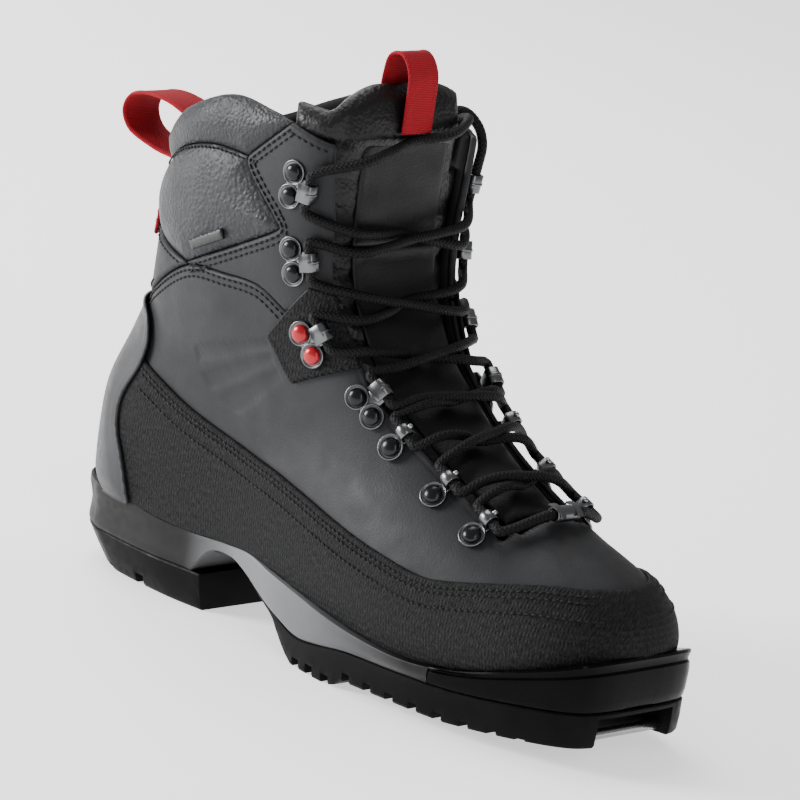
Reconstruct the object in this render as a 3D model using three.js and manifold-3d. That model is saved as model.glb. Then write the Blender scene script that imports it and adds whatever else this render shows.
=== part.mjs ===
// A backcountry ski boot, right foot: a lined leather upper on a rubber and TPU sole with a toe bar.
// Millimetres. +X runs to the toe, +Y to the inner side of the foot, +Z up. The origin lies on the
// ground, on the flat of the heel block.
import * as THREE from 'three';
import { mergeVertices } from 'three/addons/utils/BufferGeometryUtils.js';
import Module from 'manifold-3d';

const wasm = await Module();
wasm.setup();

// ---------- driving sizes ----------
const FOOT_LENGTH = 308; // leather upper, heel back to toe tip
const BALL_WIDTH = 101; // leather upper across the ball
const CUFF_HEIGHT = 228; // ground to the highest point of the collar
const LEATHER = 2.2; // thickness of the leather panels
const LINING = 3.4; // lining with its foam
const COLLAR_PUFF = 2; // how far the padded collar stands out
const RAND = 1.5; // protective band round the foot
const COUNTER = 3; // outer heel counter
const LACE = 4.2; // lace diameter
const RIVET_HEAD = 3.7; // radius of a hook's rivet head
const EYELET_HEAD = 4; // radius of an eyelet's rivet head
const RIVET_SHANK = 1.4; // radius
const HOOK_WIDTH = 8; // along the eyestay
const HOOK_METAL = 0.9; // sheet thickness of hooks and eyelets
const BAR_RADIUS = 2.2; // toe bar
const BAR_RECESS = 46; // width of the recess that the toe bar crosses
const WEBBING = 22; // width of the pull loops
const WEBBING_THICK = 1.5;
const FOOTBED = 4;
const BOARD = 2;
const GAP = 0.3; // between pieces that touch
const SLACK = 1.2; // round the loose footbed

// ---------- the last, drawn in a side view and a plan ----------
// Stations run from the heel, heights from the ground. They are drawn for these sizes and stretched to the
// driving sizes above. Below the ankle, heights don't stretch.
const DRAWN = { length: 308, ballWidth: 101, ankle: 125, cuff: 228 };
const HEEL_SEAT = 20; // station of the origin
const along = (x) => ((x - HEEL_SEAT) * FOOT_LENGTH) / DRAWN.length;
const across = (y) => (y * BALL_WIDTH) / DRAWN.ballWidth;
const up = (z) => {
  const stretch = (CUFF_HEIGHT - DRAWN.ankle) / (DRAWN.cuff - DRAWN.ankle);
  return z <= DRAWN.ankle ? z : DRAWN.ankle + (z - DRAWN.ankle) * stretch;
};
const place = (x, y, z) => new THREE.Vector3(along(x), across(y), up(z));

const clamp = THREE.MathUtils.clamp;
const smoothstep = THREE.MathUtils.smoothstep;

// A smooth function through [input, value] points, flat beyond its ends.
function smooth(points) {
  const last = points.length - 1;
  const slope = points.map((p, i) => {
    const before = points[Math.max(i - 1, 0)];
    const after = points[Math.min(i + 1, last)];
    return (after[1] - before[1]) / (after[0] - before[0]);
  });
  return (x) => {
    if (x <= points[0][0]) return points[0][1];
    if (x >= points[last][0]) return points[last][1];
    const i = points.findIndex((p) => p[0] > x) - 1;
    const width = points[i + 1][0] - points[i][0];
    const t = (x - points[i][0]) / width;
    return (
      (2 * t ** 3 - 3 * t ** 2 + 1) * points[i][1] +
      (t ** 3 - 2 * t ** 2 + t) * width * slope[i] +
      (3 * t ** 2 - 2 * t ** 3) * points[i + 1][1] +
      (t ** 3 - t ** 2) * width * slope[i + 1]
    );
  };
}

const TOE_TIP = 294;
const BACK_LINE = smooth([
  [20, -11], [40, -13.5], [65, -14], [85, -12], [108, -5], [122, 0], [140, 3], [160, 5.5], [185, 7], [210, 8], [250, 9],
]);
const FRONT_LINE = smooth([
  [48, 294], [62, 289], [70.5, 280], [76, 268], [80, 256], [84.5, 243], [92, 226], [105, 199],
  [118.5, 175], [130, 157], [145, 143], [160, 134], [181, 129.5], [200, 128.5], [229, 128], [250, 122],
]);
const FEATHER = smooth([
  [-20, 36], [24, 35.4], [60, 34], [90, 36], [105, 36.5], [122, 34], [145, 30.7], [184, 26], [213, 25],
  [239, 28.5], [263, 35], [280, 40], [296, 46],
]);
const PLAN = {
  lateral: smooth([[-14, 35], [40, 36], [85, 37], [130, 43.5], [165, 49], [195, 51.5], [230, 50], [265, 45], [294, 40]]),
  medial: smooth([[-14, 34], [40, 35], [85, 34.5], [125, 37.5], [165, 45], [200, 49], [235, 48.5], [265, 46.5], [294, 43]]),
};
const SHAFT_WIDTH = smooth([[60, 36], [90, 40], [125, 44], [150, 46.5], [180, 48.5], [210, 50], [250, 49]]);
const FRONT_SQUARE = smooth([[75, 2.3], [125, 2.9], [165, 4.4], [210, 5.5], [250, 5.5]]);
const HEEL_ROUND = 38;
const TOE_ROUND = 47;

// Height of the ridge of the foot over a station.
function ridgeHeight(x) {
  const INSTEP = 150;
  if (x < INSTEP) return ridgeHeight(INSTEP) + (INSTEP - x) * 0.9;
  let [low, high] = [48, 150];
  for (let i = 0; i < 24; i++) {
    const middle = (low + high) / 2;
    if (FRONT_LINE(middle) > x) low = middle;
    else high = middle;
  }
  return low;
}

const roundEnd = (t, power) => (t >= 1 ? 1 : (1 - (1 - Math.max(t, 0)) ** power) ** (1 / power));

// Half the width of the leather upper at a station and height, on one side.
function halfWidth(x, z, side) {
  const back = BACK_LINE(z);
  const front = FRONT_LINE(z);
  if (x <= back || x >= front) return 0;
  const plan = (side < 0 ? PLAN.lateral : PLAN.medial)(x);
  const feather = FEATHER(x);
  const rise = clamp((z - feather) / (ridgeHeight(x) - feather), 0, 1);
  const tuck = 1 - 0.05 * (1 - Math.min(rise / 0.25, 1)) ** 2;
  const ends = roundEnd((x - back) / HEEL_ROUND, 2) * roundEnd((TOE_TIP - x) / TOE_ROUND, 2.3);
  const foot = plan * ends * tuck * Math.sqrt(1 - rise ** 2.4);
  const t = (2 * x - back - front) / (front - back);
  const square = t > 0 ? FRONT_SQUARE(z) : 2.3;
  const shaft = SHAFT_WIDTH(z) * (1 - Math.abs(t) ** square) ** (1 / square);
  return THREE.MathUtils.lerp(foot, shaft, smoothstep(z, 75, 125));
}

// ---------- solids ----------
// A solid from a list of points and triangles.
function solidFrom(points, triangles) {
  const vertProperties = new Float32Array(points.flatMap((p) => [p.x, p.y, p.z]));
  return new wasm.Manifold(new wasm.Mesh({ numProp: 3, vertProperties, triVerts: new Uint32Array(triangles.flat()) }));
}

// A solid from one of three.js's closed geometries.
function solidOf(geometry) {
  const g = geometry.clone();
  g.deleteAttribute('normal');
  g.deleteAttribute('uv');
  const merged = mergeVertices(g, 1e-4);
  const mesh = { numProp: 3, vertProperties: merged.attributes.position.array };
  return new wasm.Manifold(new wasm.Mesh({ ...mesh, triVerts: new Uint32Array(merged.index.array) }));
}

function geometryOf(solid) {
  const mesh = solid.getMesh();
  const g = new THREE.BufferGeometry();
  const position = new Float32Array(mesh.numVert * 3);
  for (let i = 0; i < mesh.numVert; i++) {
    position.set(mesh.vertProperties.subarray(i * mesh.numProp, i * mesh.numProp + 3), i * 3);
  }
  g.setAttribute('position', new THREE.BufferAttribute(position, 3));
  g.setIndex(new THREE.BufferAttribute(mesh.triVerts, 1));
  g.computeVertexNormals();
  return g;
}

const joined = (solids) => solids.reduce((a, b) => a.add(b));
const largest = (solid) => solid.decompose().sort((a, b) => b.volume() - a.volume())[0];

// Rings of points round the last, from the toe ridge round the inner side, the heel and the outer side.
const RING_LEVELS = [14, 36, 50, 62, 70, 76, 82, 92, 106, 122, 142, 166, 194, 222, 254];
const RING_POINTS = 30;
function lastRings() {
  return RING_LEVELS.map((z) => {
    const [back, front] = [BACK_LINE(z), FRONT_LINE(z)];
    return Array.from({ length: RING_POINTS }, (_, i) => {
      const turn = (2 * Math.PI * i) / RING_POINTS;
      const x = (back + front) / 2 + ((front - back) / 2) * Math.cos(turn);
      const side = Math.sin(turn) < 0 ? -1 : 1;
      const onRidge = i === 0 || i === RING_POINTS / 2;
      return place(x, onRidge ? 0 : side * halfWidth(x, z, side), z);
    });
  });
}

const rings = lastRings();
const ringNormals = rings.map((ring, k) =>
  ring.map((p, i) => {
    const next = ring[(i + 1) % RING_POINTS];
    const before = ring[(i + RING_POINTS - 1) % RING_POINTS];
    const above = rings[Math.min(k + 1, rings.length - 1)][i];
    const below = rings[Math.max(k - 1, 0)][i];
    return next.clone().sub(before).cross(above.clone().sub(below)).normalize();
  }),
);

// The last as a closed solid, grown outwards by some millimetres.
const lasts = new Map();
function last(grow) {
  if (lasts.has(grow)) return lasts.get(grow);
  const points = rings.flatMap((ring, k) => ring.map((p, i) => p.clone().addScaledVector(ringNormals[k][i], grow)));
  const triangles = [];
  const at = (k, i) => k * RING_POINTS + (i % RING_POINTS);
  for (let k = 0; k < rings.length - 1; k++) {
    for (let i = 0; i < RING_POINTS; i++) {
      triangles.push([at(k, i), at(k, i + 1), at(k + 1, i + 1)], [at(k, i), at(k + 1, i + 1), at(k + 1, i)]);
    }
  }
  for (const [k, flip] of [[0, true], [rings.length - 1, false]]) {
    const centre = points.length;
    const sum = new THREE.Vector3();
    for (let i = 0; i < RING_POINTS; i++) sum.add(points[at(k, i)]);
    points.push(sum.divideScalar(RING_POINTS));
    for (let i = 0; i < RING_POINTS; i++) {
      triangles.push(flip ? [centre, at(k, i + 1), at(k, i)] : [centre, at(k, i), at(k, i + 1)]);
    }
  }
  lasts.set(grow, solidFrom(points, triangles));
  return lasts.get(grow);
}
const shell = (outer, inner) => last(outer).subtract(last(inner));

// A side-view outline of [station, height] points as a prism across the boot.
const FAR = 90;
function prism(outline, low = -FAR, high = FAR) {
  const shape = new THREE.Shape(outline.map(([x, z]) => new THREE.Vector2(along(x), up(z))));
  const g = new THREE.ExtrudeGeometry(shape, { depth: high - low, bevelEnabled: false });
  g.rotateX(Math.PI / 2);
  g.translate(0, high, 0);
  return solidOf(g);
}

// Points spaced along a smooth curve through side-view points.
function curve(points, steps) {
  const line = new THREE.SplineCurve(points.map(([x, z]) => new THREE.Vector2(x, z)));
  return line.getPoints(steps).map((p) => [p.x, p.y]);
}

// A thin strip along a side-view line: the seam gap between two panels.
function seam(line) {
  const points = line.map(([x, z]) => new THREE.Vector2(x, z));
  const strip = points.map((p, i) => {
    const ahead = points[Math.min(i + 1, points.length - 1)].clone().sub(points[Math.max(i - 1, 0)]).normalize();
    return [p, new THREE.Vector2(-ahead.y, ahead.x).multiplyScalar(GAP / 2)];
  });
  const left = strip.map(([p, n]) => [p.x + n.x, p.y + n.y]);
  const right = strip.map(([p, n]) => [p.x - n.x, p.y - n.y]).reverse();
  return prism([...left, ...right]);
}

const box = (x, y, z, dx, dy, dz) => solidOf(new THREE.BoxGeometry(dx, dy, dz).translate(x, y, z));

// ---------- seam lines of the upper, in the side view ----------
const stations = (from, to, count) => Array.from({ length: count }, (_, i) => from + ((to - from) * i) / (count - 1));
const featherLine = (lift, from = -30, to = 304) => stations(from, to, 18).map((x) => [x, FEATHER(x) + lift]);
const RIM = curve([[-20, 200], [8, 200], [37, 216], [65, 228], [87, 227], [102, 224.5], [123, 219.5], [140, 218]], 14);
const EYESTAY = curve(
  [[123, 224], [124, 200], [126.5, 175], [131, 157], [141, 137], [155, 121], [169, 111], [196, 97], [222, 85], [233, 79]],
  16,
);
const QUARTER_TOP = [
  ...curve([[-20, 117], [0, 120], [16, 130], [48, 149], [74, 152], [94, 152], [110, 145]], 9),
  [120, 148], [135, 152],
];
const RAND_TOP = curve(
  [[0, 103], [22, 98], [56, 86.5], [93, 79], [119, 75], [160, 66.5], [184, 62.5], [209, 59.5], [223, 61], [247, 66],
    [267, 69.5], [304, 71]],
  16,
);
const COUNTER_FRONT = curve([[27, 34], [19, 55], [13, 67], [13, 80], [21, 97], [23, 111], [14, 121], [-20, 123]], 12);
const COLLAR_FRONT = [[102, 230], [102, 224.5], [80, 205], [82, 200], [100, 184], [101, 178], [48, 150.5]];
const COLLAR_SEAM = curve([[-20, 183], [8, 183], [18, 187], [37, 198.5], [59, 205], [80, 205]], 8);
const COLLAR_FOOT = [[48, 150.5], [20, 156], [6, 164], [-20, 166]];
const STRAP = [[102, 132.5], [117.5, 115.5], [146, 129.5], [140, 139], [131, 157], [120, 158]];


// ---------- where the hardware sits ----------
// The place and outward direction of the leather at a station and height.
function onLeather(x, z, side) {
  const at = (a, b) => place(a, side * halfWidth(a, b, side), b);
  const alongStep = at(x + 1, z).sub(at(x - 1, z));
  const upStep = at(x, z + 1).sub(at(x, z - 1));
  const normal = alongStep.cross(upStep).normalize().multiplyScalar(-side);
  return { point: at(x, z), normal };
}

// A frame on the leather: its X points to the lacing gap, its Y along the eyestay, its Z out of the leather.
function frameAt({ x, z, lean, lift = 0 }, side) {
  const { point, normal } = onLeather(x, z, side);
  const eyestay = new THREE.Vector3(-Math.sin(lean), 0, Math.cos(lean));
  eyestay.addScaledVector(normal, -eyestay.dot(normal)).normalize();
  const toGap = eyestay.clone().cross(normal).multiplyScalar(-side).normalize();
  const frame = new THREE.Matrix4().makeBasis(toGap, eyestay.multiplyScalar(-side), normal);
  return frame.setPosition(point.addScaledVector(normal, lift));
}

// Stations and heights of the hooks from the top down, and of the eyelets below them.
const STRAP_THICK = 1.3;
const HOOKS = [
  { x: 108.4, z: 199.5, lean: -0.1 },
  { x: 112, z: 167.5, lean: 0.25 },
  { x: 124.3, z: 135.2, lean: 0.75, lift: STRAP_THICK + 2 * GAP },
  { x: 154.5, z: 115.8, lean: 1.0, lift: 0.4 },
];
const EYELETS = [
  { x: 170.8, z: 102, lean: 1.0, lift: 0.8 },
  { x: 197.5, z: 89, lean: 1.05, lift: 0.4 },
  { x: 222, z: 79, lean: 1.1, lift: 0.4 },
];
const EVERY_FIXING = [...HOOKS, ...EYELETS];
const FACETS = 10;

const turned = (solid, frame) => {
  const e = frame.elements;
  return solid.transform([...e.slice(0, 3), 0, ...e.slice(4, 7), 0, ...e.slice(8, 11), 0, ...e.slice(12, 15), 1]);
};
const peg = (x, y, radius, low, high, facets = FACETS) => {
  const g = new THREE.CylinderGeometry(radius, radius, high - low, facets);
  g.rotateX(Math.PI / 2);
  g.translate(x, y, (low + high) / 2);
  return solidOf(g);
};
// A closed outline in a frame's X and Z, extruded along its Y.
function bend(outline, width) {
  const shape = new THREE.Shape(outline.map(([x, z]) => new THREE.Vector2(x, z)));
  const g = new THREE.ExtrudeGeometry(shape, { depth: width, bevelEnabled: false });
  g.rotateX(Math.PI / 2);
  g.translate(0, width / 2, 0);
  return solidOf(g);
}
const dome = (x, y, radius, base) => {
  const profile = [[0, base], [radius, base], [radius * 0.75, base + 1.5], [0, base + 2.2]];
  const g = new THREE.LatheGeometry(profile.map(([r, z]) => new THREE.Vector2(r, z)), FACETS);
  g.rotateX(Math.PI / 2);
  g.translate(x, y, 0);
  return solidOf(g);
};

// A lace hook: a double plate under two rivets, with a tongue curled up and back over the lace.
const RIVET_PITCH = 10.6;
const PLATE = GAP + HOOK_METAL; // top of the plate above the leather
const LACE_ROOM = LACE + 2 * GAP;
const HOOK_END = 13;
const HOOK_TOP = PLATE + LACE_ROOM + HOOK_METAL;
const LACE_SEAT = { x: HOOK_END - HOOK_METAL - LACE_ROOM / 2, z: PLATE + LACE_ROOM / 2 };
function hookSolid() {
  const lobes = [-1, 1].map((s) => peg(-1, (s * RIVET_PITCH) / 2, 5.4, GAP, PLATE));
  const curl = [
    [-3, GAP], [HOOK_END - 1.6, GAP], [HOOK_END, GAP + 1.6], [HOOK_END, HOOK_TOP - 1.6], [HOOK_END - 1.6, HOOK_TOP],
    [HOOK_END - 7, HOOK_TOP], [HOOK_END - 7, HOOK_TOP - HOOK_METAL], [HOOK_END - 1.9, HOOK_TOP - HOOK_METAL],
    [HOOK_END - HOOK_METAL, HOOK_TOP - 1.9], [HOOK_END - HOOK_METAL, GAP + 1.9], [HOOK_END - 1.9, PLATE], [-3, PLATE],
  ];
  const plate = joined([...lobes, bend(curl, HOOK_WIDTH)]);
  return plate.subtract(shanks(-2, PLATE + 1, RIVET_SHANK + GAP));
}
const shanks = (low, high, radius) => joined([-1, 1].map((s) => peg(-1, (s * RIVET_PITCH) / 2, radius, low, high, 6)));

// Both rivets of a hook, joined by the plate that backs them inside the boot.
const BACKING = 1;
function hookRivetsSolid(lift) {
  const inner = -LEATHER - GAP - BACKING - lift;
  const heads = [-1, 1].map((s) => dome(-1, (s * RIVET_PITCH) / 2, RIVET_HEAD, PLATE + GAP));
  const backing = box(-1, 0, inner - BACKING / 2, 5, RIVET_PITCH + 5, BACKING);
  return joined([...heads, shanks(inner - 0.1, PLATE + GAP + 0.1, RIVET_SHANK), backing]);
}

// A lace eyelet: a drop-shaped plate under one rivet, with a closed loop for the lace.
function eyeletSolid() {
  const disc = peg(0, 0, 5.8, GAP, PLATE);
  const end = 12.2;
  const start = end - LACE_ROOM - 2 * HOOK_METAL;
  const loop = bend(
    [[2, GAP], [end - 0.8, GAP], [end, GAP + 0.8], [end, HOOK_TOP - 1.8], [end - 1.8, HOOK_TOP],
      [start + 1.8, HOOK_TOP], [start, HOOK_TOP - 1.8], [start, PLATE], [2, PLATE]],
    5.5,
  );
  const room = peg(0, 0, LACE_ROOM / 2, -9, 9, 12).rotate([90, 0, 0]);
  const seat = [start + HOOK_METAL + LACE_ROOM / 2, 0, PLATE + LACE_ROOM / 2];
  return disc.add(loop).subtract(room.translate(seat)).subtract(peg(0, 0, RIVET_SHANK + GAP, -2, 4, 6));
}
const EYELET_SEAT = { x: 12.2 - HOOK_METAL - LACE_ROOM / 2, z: LACE_SEAT.z };
function eyeletRivetSolid(lift) {
  const inner = -LEATHER - GAP - BACKING - lift;
  const head = dome(0, 0, EYELET_HEAD, PLATE + GAP);
  const shank = peg(0, 0, RIVET_SHANK, inner - 0.1, PLATE + GAP + 0.1, 6);
  return joined([head, shank, peg(0, 0, 3.2, inner - BACKING, inner, 8)]);
}

// Room for the rivets in the leather and for their backing in the lining.
const shankRoom = (s) => joined([
  ...HOOKS.map((h) => turned(shanks(-8, 5, RIVET_SHANK + GAP), frameAt({ ...h, lift: 0 }, s))),
  ...EYELETS.map((h) => turned(peg(0, 0, RIVET_SHANK + GAP, -8, 5, 6), frameAt({ ...h, lift: 0 }, s))),
]);
const backingRoom = (s) => {
  const inner = -LEATHER - GAP - BACKING;
  return joined([
    ...HOOKS.map((h) => turned(
      box(-1, 0, inner + 1, 5 + 2 * GAP, RIVET_PITCH + 5 + 2 * GAP, 2 * (BACKING + GAP + 1)), frameAt({ ...h, lift: 0 }, s),
    )),
    ...EYELETS.map((h) => turned(peg(0, 0, 3.2 + GAP, inner - BACKING - GAP, inner + 3, 8), frameAt({ ...h, lift: 0 }, s))),
  ]);
};

// ---------- build ----------
const boot = new THREE.Group();
boot.name = 'backcountry_ski_boot';
const MATERIALS = {
  leather: [0x2b2c2e, 0.62, 0],
  grained: [0x1f2022, 0.7, 0],
  woven: [0x1c1c1d, 0.9, 0],
  counter: [0x3a3c3f, 0.55, 0],
  frame: [0x5b5e62, 0.5, 0],
  bumper: [0x101011, 0.3, 0],
  rubber: [0x131313, 0.75, 0],
  steel: [0xb8bcc0, 0.3, 1],
  gunmetal: [0x4a4d50, 0.35, 1],
  redRivet: [0xb3202c, 0.4, 0.2],
  redWebbing: [0xc4161f, 0.85, 0],
  lining: [0x232427, 0.95, 0],
  board: [0x8a7a5c, 0.9, 0],
  footbed: [0x2d3035, 0.95, 0],
  lace: [0x0c0c0d, 0.85, 0],
  label: [0x0d0d0d, 0.6, 0],
};
const materials = Object.fromEntries(
  Object.entries(MATERIALS).map(([name, [color, roughness, metalness]]) => [
    name,
    new THREE.MeshStandardMaterial({ name, color, roughness, metalness }),
  ]),
);
function add(name, solid, material) {
  const mesh = new THREE.Mesh(geometryOf(largest(solid)), materials[material]);
  mesh.name = name;
  boot.add(mesh);
}

const SIDES = { lateral: -1, medial: 1 };
const halfOf = (side) => box(150, side * (FAR / 2 + GAP / 2), 150, 900, FAR, 500);

// Upper.
const THROAT = [[18, 70], [21, 84], [26, 105], [31, 130], [36, 155], [38, 180], [39, 300]];
const throatShape = new THREE.Shape([...THROAT, ...THROAT.map(([y, z]) => [-y, z]).reverse()].map(
  ([y, z]) => new THREE.Vector2(across(y), up(z)),
));
const throatCut = new THREE.ExtrudeGeometry(throatShape, { depth: 200, bevelEnabled: false });
throatCut.rotateX(Math.PI / 2);
throatCut.rotateZ(Math.PI / 2);
const throatZone = prism([[100, 290], [100, 165], [112, 140], [130, 118], [160, 95], [195, 79], [222, 68], [236, 80], [236, 290]]);
const throat = solidOf(throatCut).translate(80, 0, 0).intersect(throatZone);
const opening = prism([...EYESTAY, [236, 290], [122, 290]]).add(throat);
const belowRim = prism([[-60, -10], ...RIM, [330, 218], [330, -10]]);
const seamCuts = joined([QUARTER_TOP, COLLAR_FRONT, COLLAR_SEAM, COLLAR_FOOT].map(seam));
const backSeam = box(-60, 0, 150, 120, GAP, 400);
const rivetRoom = Object.fromEntries(Object.entries(SIDES).map(([name, s]) => [name, shankRoom(s)]));
const allRivetRoom = joined(Object.values(rivetRoom));

const aboveFeather = (lift) => prism([...featherLine(lift), [304, 320], [-60, 320]]);
const belowQuarterTop = prism([[-60, -10], ...QUARTER_TOP, [150, 152], [330, 152], [330, -10]]);
const skin = shell(0, -LEATHER).subtract(opening).intersect(belowRim).intersect(aboveFeather(0)).subtract(allRivetRoom);
const cutSkin = skin.subtract(seamCuts);
add('body_leather', cutSkin.intersect(belowQuarterTop).subtract(backSeam), 'leather');

const collarZone = prism([[-60, 165], ...[...COLLAR_FOOT].reverse().slice(1), ...[...COLLAR_FRONT].reverse(), [-60, 230]]);
const topBand = prism([...COLLAR_SEAM, [102, 224.5], [102, 240], [-60, 240], [-60, 183]]);
const outerShell = shell(1.4, -LEATHER).subtract(opening).intersect(belowRim).subtract(seamCuts);
add('collar_top', outerShell.intersect(topBand), 'leather');
const padded = shell(COLLAR_PUFF, -LEATHER).intersect(belowRim).subtract(seamCuts).subtract(topBand).intersect(collarZone);
const ankleZone = skin.subtract(seamCuts).subtract(belowQuarterTop).subtract(collarZone).subtract(topBand);
for (const [name, s] of Object.entries(SIDES)) {
  add(`collar_${name}`, padded.intersect(halfOf(s)), 'grained');
  add(`ankle_panel_${name}`, ankleZone.intersect(halfOf(s)), 'leather');
  const strap = shell(GAP + STRAP_THICK, GAP).intersect(prism(STRAP)).intersect(halfOf(s));
  add(`strap_panel_${name}`, strap.subtract(rivetRoom[name]), 'woven');
}

const onCollar = (thick) => shell(COLLAR_PUFF + GAP + thick, COLLAR_PUFF + GAP).intersect(halfOf(SIDES.lateral));
add('side_tag', onCollar(0.9).intersect(prism([[-30, 151.5], [11.5, 151.5], [11.5, 167], [-30, 167]])).intersect(
  box(-40, -14 - 30, 160, 200, 60, 100),
), 'redWebbing');
add('cuff_label', onCollar(0.8).intersect(prism([[56.4, 158.5], [74.6, 168], [72.7, 172], [54.2, 162.3]])), 'label');

const belowRandTop = prism([[-60, -10], ...RAND_TOP, [330, 71], [330, -10]]);
add('rand', shell(GAP + RAND, GAP).intersect(belowRandTop).intersect(aboveFeather(0)), 'woven');
const counterZone = prism([...COUNTER_FRONT, [-60, 123], [-60, 34]]);
const counterShell = shell(2 * GAP + RAND + COUNTER, 2 * GAP + RAND).intersect(counterZone).intersect(aboveFeather(0));
add('heel_counter', counterShell, 'counter');

// Inside.
const IN = -LEATHER - GAP; // outer face of the lining
const INNER = IN - LINING; // inner face of the lining
const slab = (low, high) => prism([...featherLine(low), ...featherLine(high).reverse()]);
const backings = joined(Object.values(SIDES).map(backingRoom));
const liningShell = shell(IN, INNER).subtract(opening).intersect(belowRim).intersect(aboveFeather(BOARD + GAP));
add('lining', liningShell.subtract(backings), 'lining');
add('insole_board', last(IN).intersect(slab(0, BOARD)), 'board');
const footbedLow = BOARD + GAP;
add('footbed', last(INNER - SLACK).intersect(slab(footbedLow, footbedLow + FOOTBED)), 'footbed');

// Tongue: it lies inside the lining, as a lower half sewn to the boot and an upper half that folds.
const TONGUE = 4.6;
const TONGUE_OUT = INNER - GAP;
const FLEX = 176; // height of the flex crease
const tongueBack = curve([[97, 246], [99, 222], [106, 195], [107, 176], [110, 158], [121, 138], [136, 118], [160, 100],
  [190, 86], [215, 76], [224, 70]], 14);
const tongueFront = [[240, 70], [240, 290], [97, 290]];
const tongueTop = prism([[60, 0], [60, 226], [97, 233], [108, 240], [118, 246], [150, 246], [250, 0]]);
const tongueShell = shell(TONGUE_OUT, TONGUE_OUT - TONGUE).intersect(prism([...tongueBack, ...tongueFront]));
const medialWing = box(100, 33 + 50, 205 + 50, 100, 100, 100);
const tongueBody = tongueShell.intersect(tongueTop).subtract(medialWing);
const FLEX_STATION = 122.5; // the hinge line; behind it the upper half is cut away to clear as it folds
const flexTop = FLEX + GAP / 2;
const aboveFlex = prism([[60, flexTop + 15], [FLEX_STATION, flexTop], [250, flexTop], [250, 300], [60, 300]]);
const belowFlex = prism([[60, FLEX - GAP / 2], [250, FLEX - GAP / 2], [250, 0], [60, 0]]);
add('tongue_upper', tongueBody.intersect(aboveFlex), 'grained');
add('tongue_lower', tongueBody.intersect(belowFlex), 'grained');
const FACE_OUT = TONGUE_OUT + 1.4;
const face = shell(FACE_OUT, TONGUE_OUT + GAP).intersect(box(150, 0, 150, 300, 52, 200));
const faceZone = throat.scale([1, 0.88, 1]).translate(2, 0, 1).subtract(box(along(222) + 100, 0, 80, 200, 200, 200));
const faceBody = face.intersect(faceZone).intersect(prism([[60, 60], [60, 222], [250, 222], [250, 60]]));
add('tongue_face_upper', faceBody.intersect(aboveFlex), 'leather');
add('tongue_face_lower', faceBody.intersect(belowFlex), 'leather');

// Pull loops: each is one closed band.
function band(points, width) {
  const line = new THREE.CatmullRomCurve3(points.map(([x, z]) => new THREE.Vector3(along(x), 0, up(z))));
  const samples = line.getSpacedPoints(18);
  const side = (offset) => samples.map((p, i) => {
    const ahead = samples[Math.min(i + 1, samples.length - 1)];
    const behind = samples[Math.max(i - 1, 0)];
    const t = ahead.clone().sub(behind).normalize();
    return new THREE.Vector2(p.x - t.z * offset, p.z + t.x * offset);
  });
  const outline = [...side(WEBBING_THICK / 2), ...side(-WEBBING_THICK / 2).reverse()];
  const g = new THREE.ExtrudeGeometry(new THREE.Shape(outline), { depth: width, bevelEnabled: false });
  g.rotateX(Math.PI / 2);
  g.translate(0, width / 2, 0);
  return solidOf(g);
}
const heelBand = band(
  [[4.4, 202], [-8, 205], [-22, 206], [-33, 203], [-36.3, 195.5], [-31, 188], [-18, 184], [-6, 182.5], [4, 182]],
  WEBBING,
);
add('heel_loop', heelBand, 'redWebbing');
const tongueBand = band(
  [[127.5, 224], [127.2, 236], [126.5, 249], [121, 256.5], [114, 255], [112, 247], [111.6, 236], [111.4, 228]],
  WEBBING - 4,
);
add('tongue_loop', tongueBand, 'redWebbing');

// Sole. Its plan, grown or shrunk; the walls can lean in below the top of the heel block, by so much per
// millimetre of height.
const HEEL_TOP = 17;
const planShape = (grow, lean = { along: 0, across: 0 }) => {
  const outer = [[-20, 0], [-18.5, 11], [-10.5, 23], [8, 32], [40, 35.5], [70, 34.5], [95, 35], [125, 42], [160, 50.5],
    [195, 53.5], [225, 53], [255, 48.5], [277, 41.5], [290, 34], [294.5, 26], [295, 0]];
  const inner = outer.map(([x, y]) => [x, y * (x > 240 ? 1.02 : x > 90 ? 0.96 : 0.98)]);
  const ring = [...outer.map(([x, y]) => [x, -y]), ...inner.slice(1, -1).reverse()];
  const shape = new THREE.Shape(ring.map(([x, y]) => {
    const pulled = x < 135 ? x - grow : x + grow;
    return new THREE.Vector2(along(pulled), across(y + Math.sign(y) * grow));
  }));
  const g = new THREE.ExtrudeGeometry(shape, { depth: 80, bevelEnabled: false });
  g.translate(0, 0, -10);
  const at = g.attributes.position;
  for (let i = 0; i < at.count; i++) {
    const drop = HEEL_TOP - at.getZ(i);
    at.setXY(i, at.getX(i) + lean.along * drop, at.getY(i) - Math.sign(at.getY(i)) * lean.across * drop);
  }
  return solidOf(g);
};
const FRAME_FOOT = curve([[68, 17], [78, 29], [90, 30.5], [100, 27.5], [112, 22.5], [128, 16.5], [144, 12.8], [160, 14.5],
  [180, 17.5], [208, 18.5], [240, 19.5], [268, 22], [300, 25]], 18);
const TREAD = [[104, 24], [112, 20.2], [124, 15.2], [131, 8], [141, 0], [172, 0], [177, 4.5], [205, 5.2], [236, 5.1],
  [266, 7.3], [300, 9.8]];
const frameBody = prism([[-60, HEEL_TOP], ...FRAME_FOOT, ...featherLine(-GAP).reverse()]).intersect(planShape(0));
const BUMPER_START = 226;
const behindBumper = box(0, 0, 50, 2 * (along(BUMPER_START) - GAP / 2), 400, 200);
const aheadOfBumper = box(along(BUMPER_START) + GAP / 2 + 200, 0, 50, 400, 400, 200);
add('sole_frame', frameBody.intersect(behindBumper), 'frame');

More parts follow.
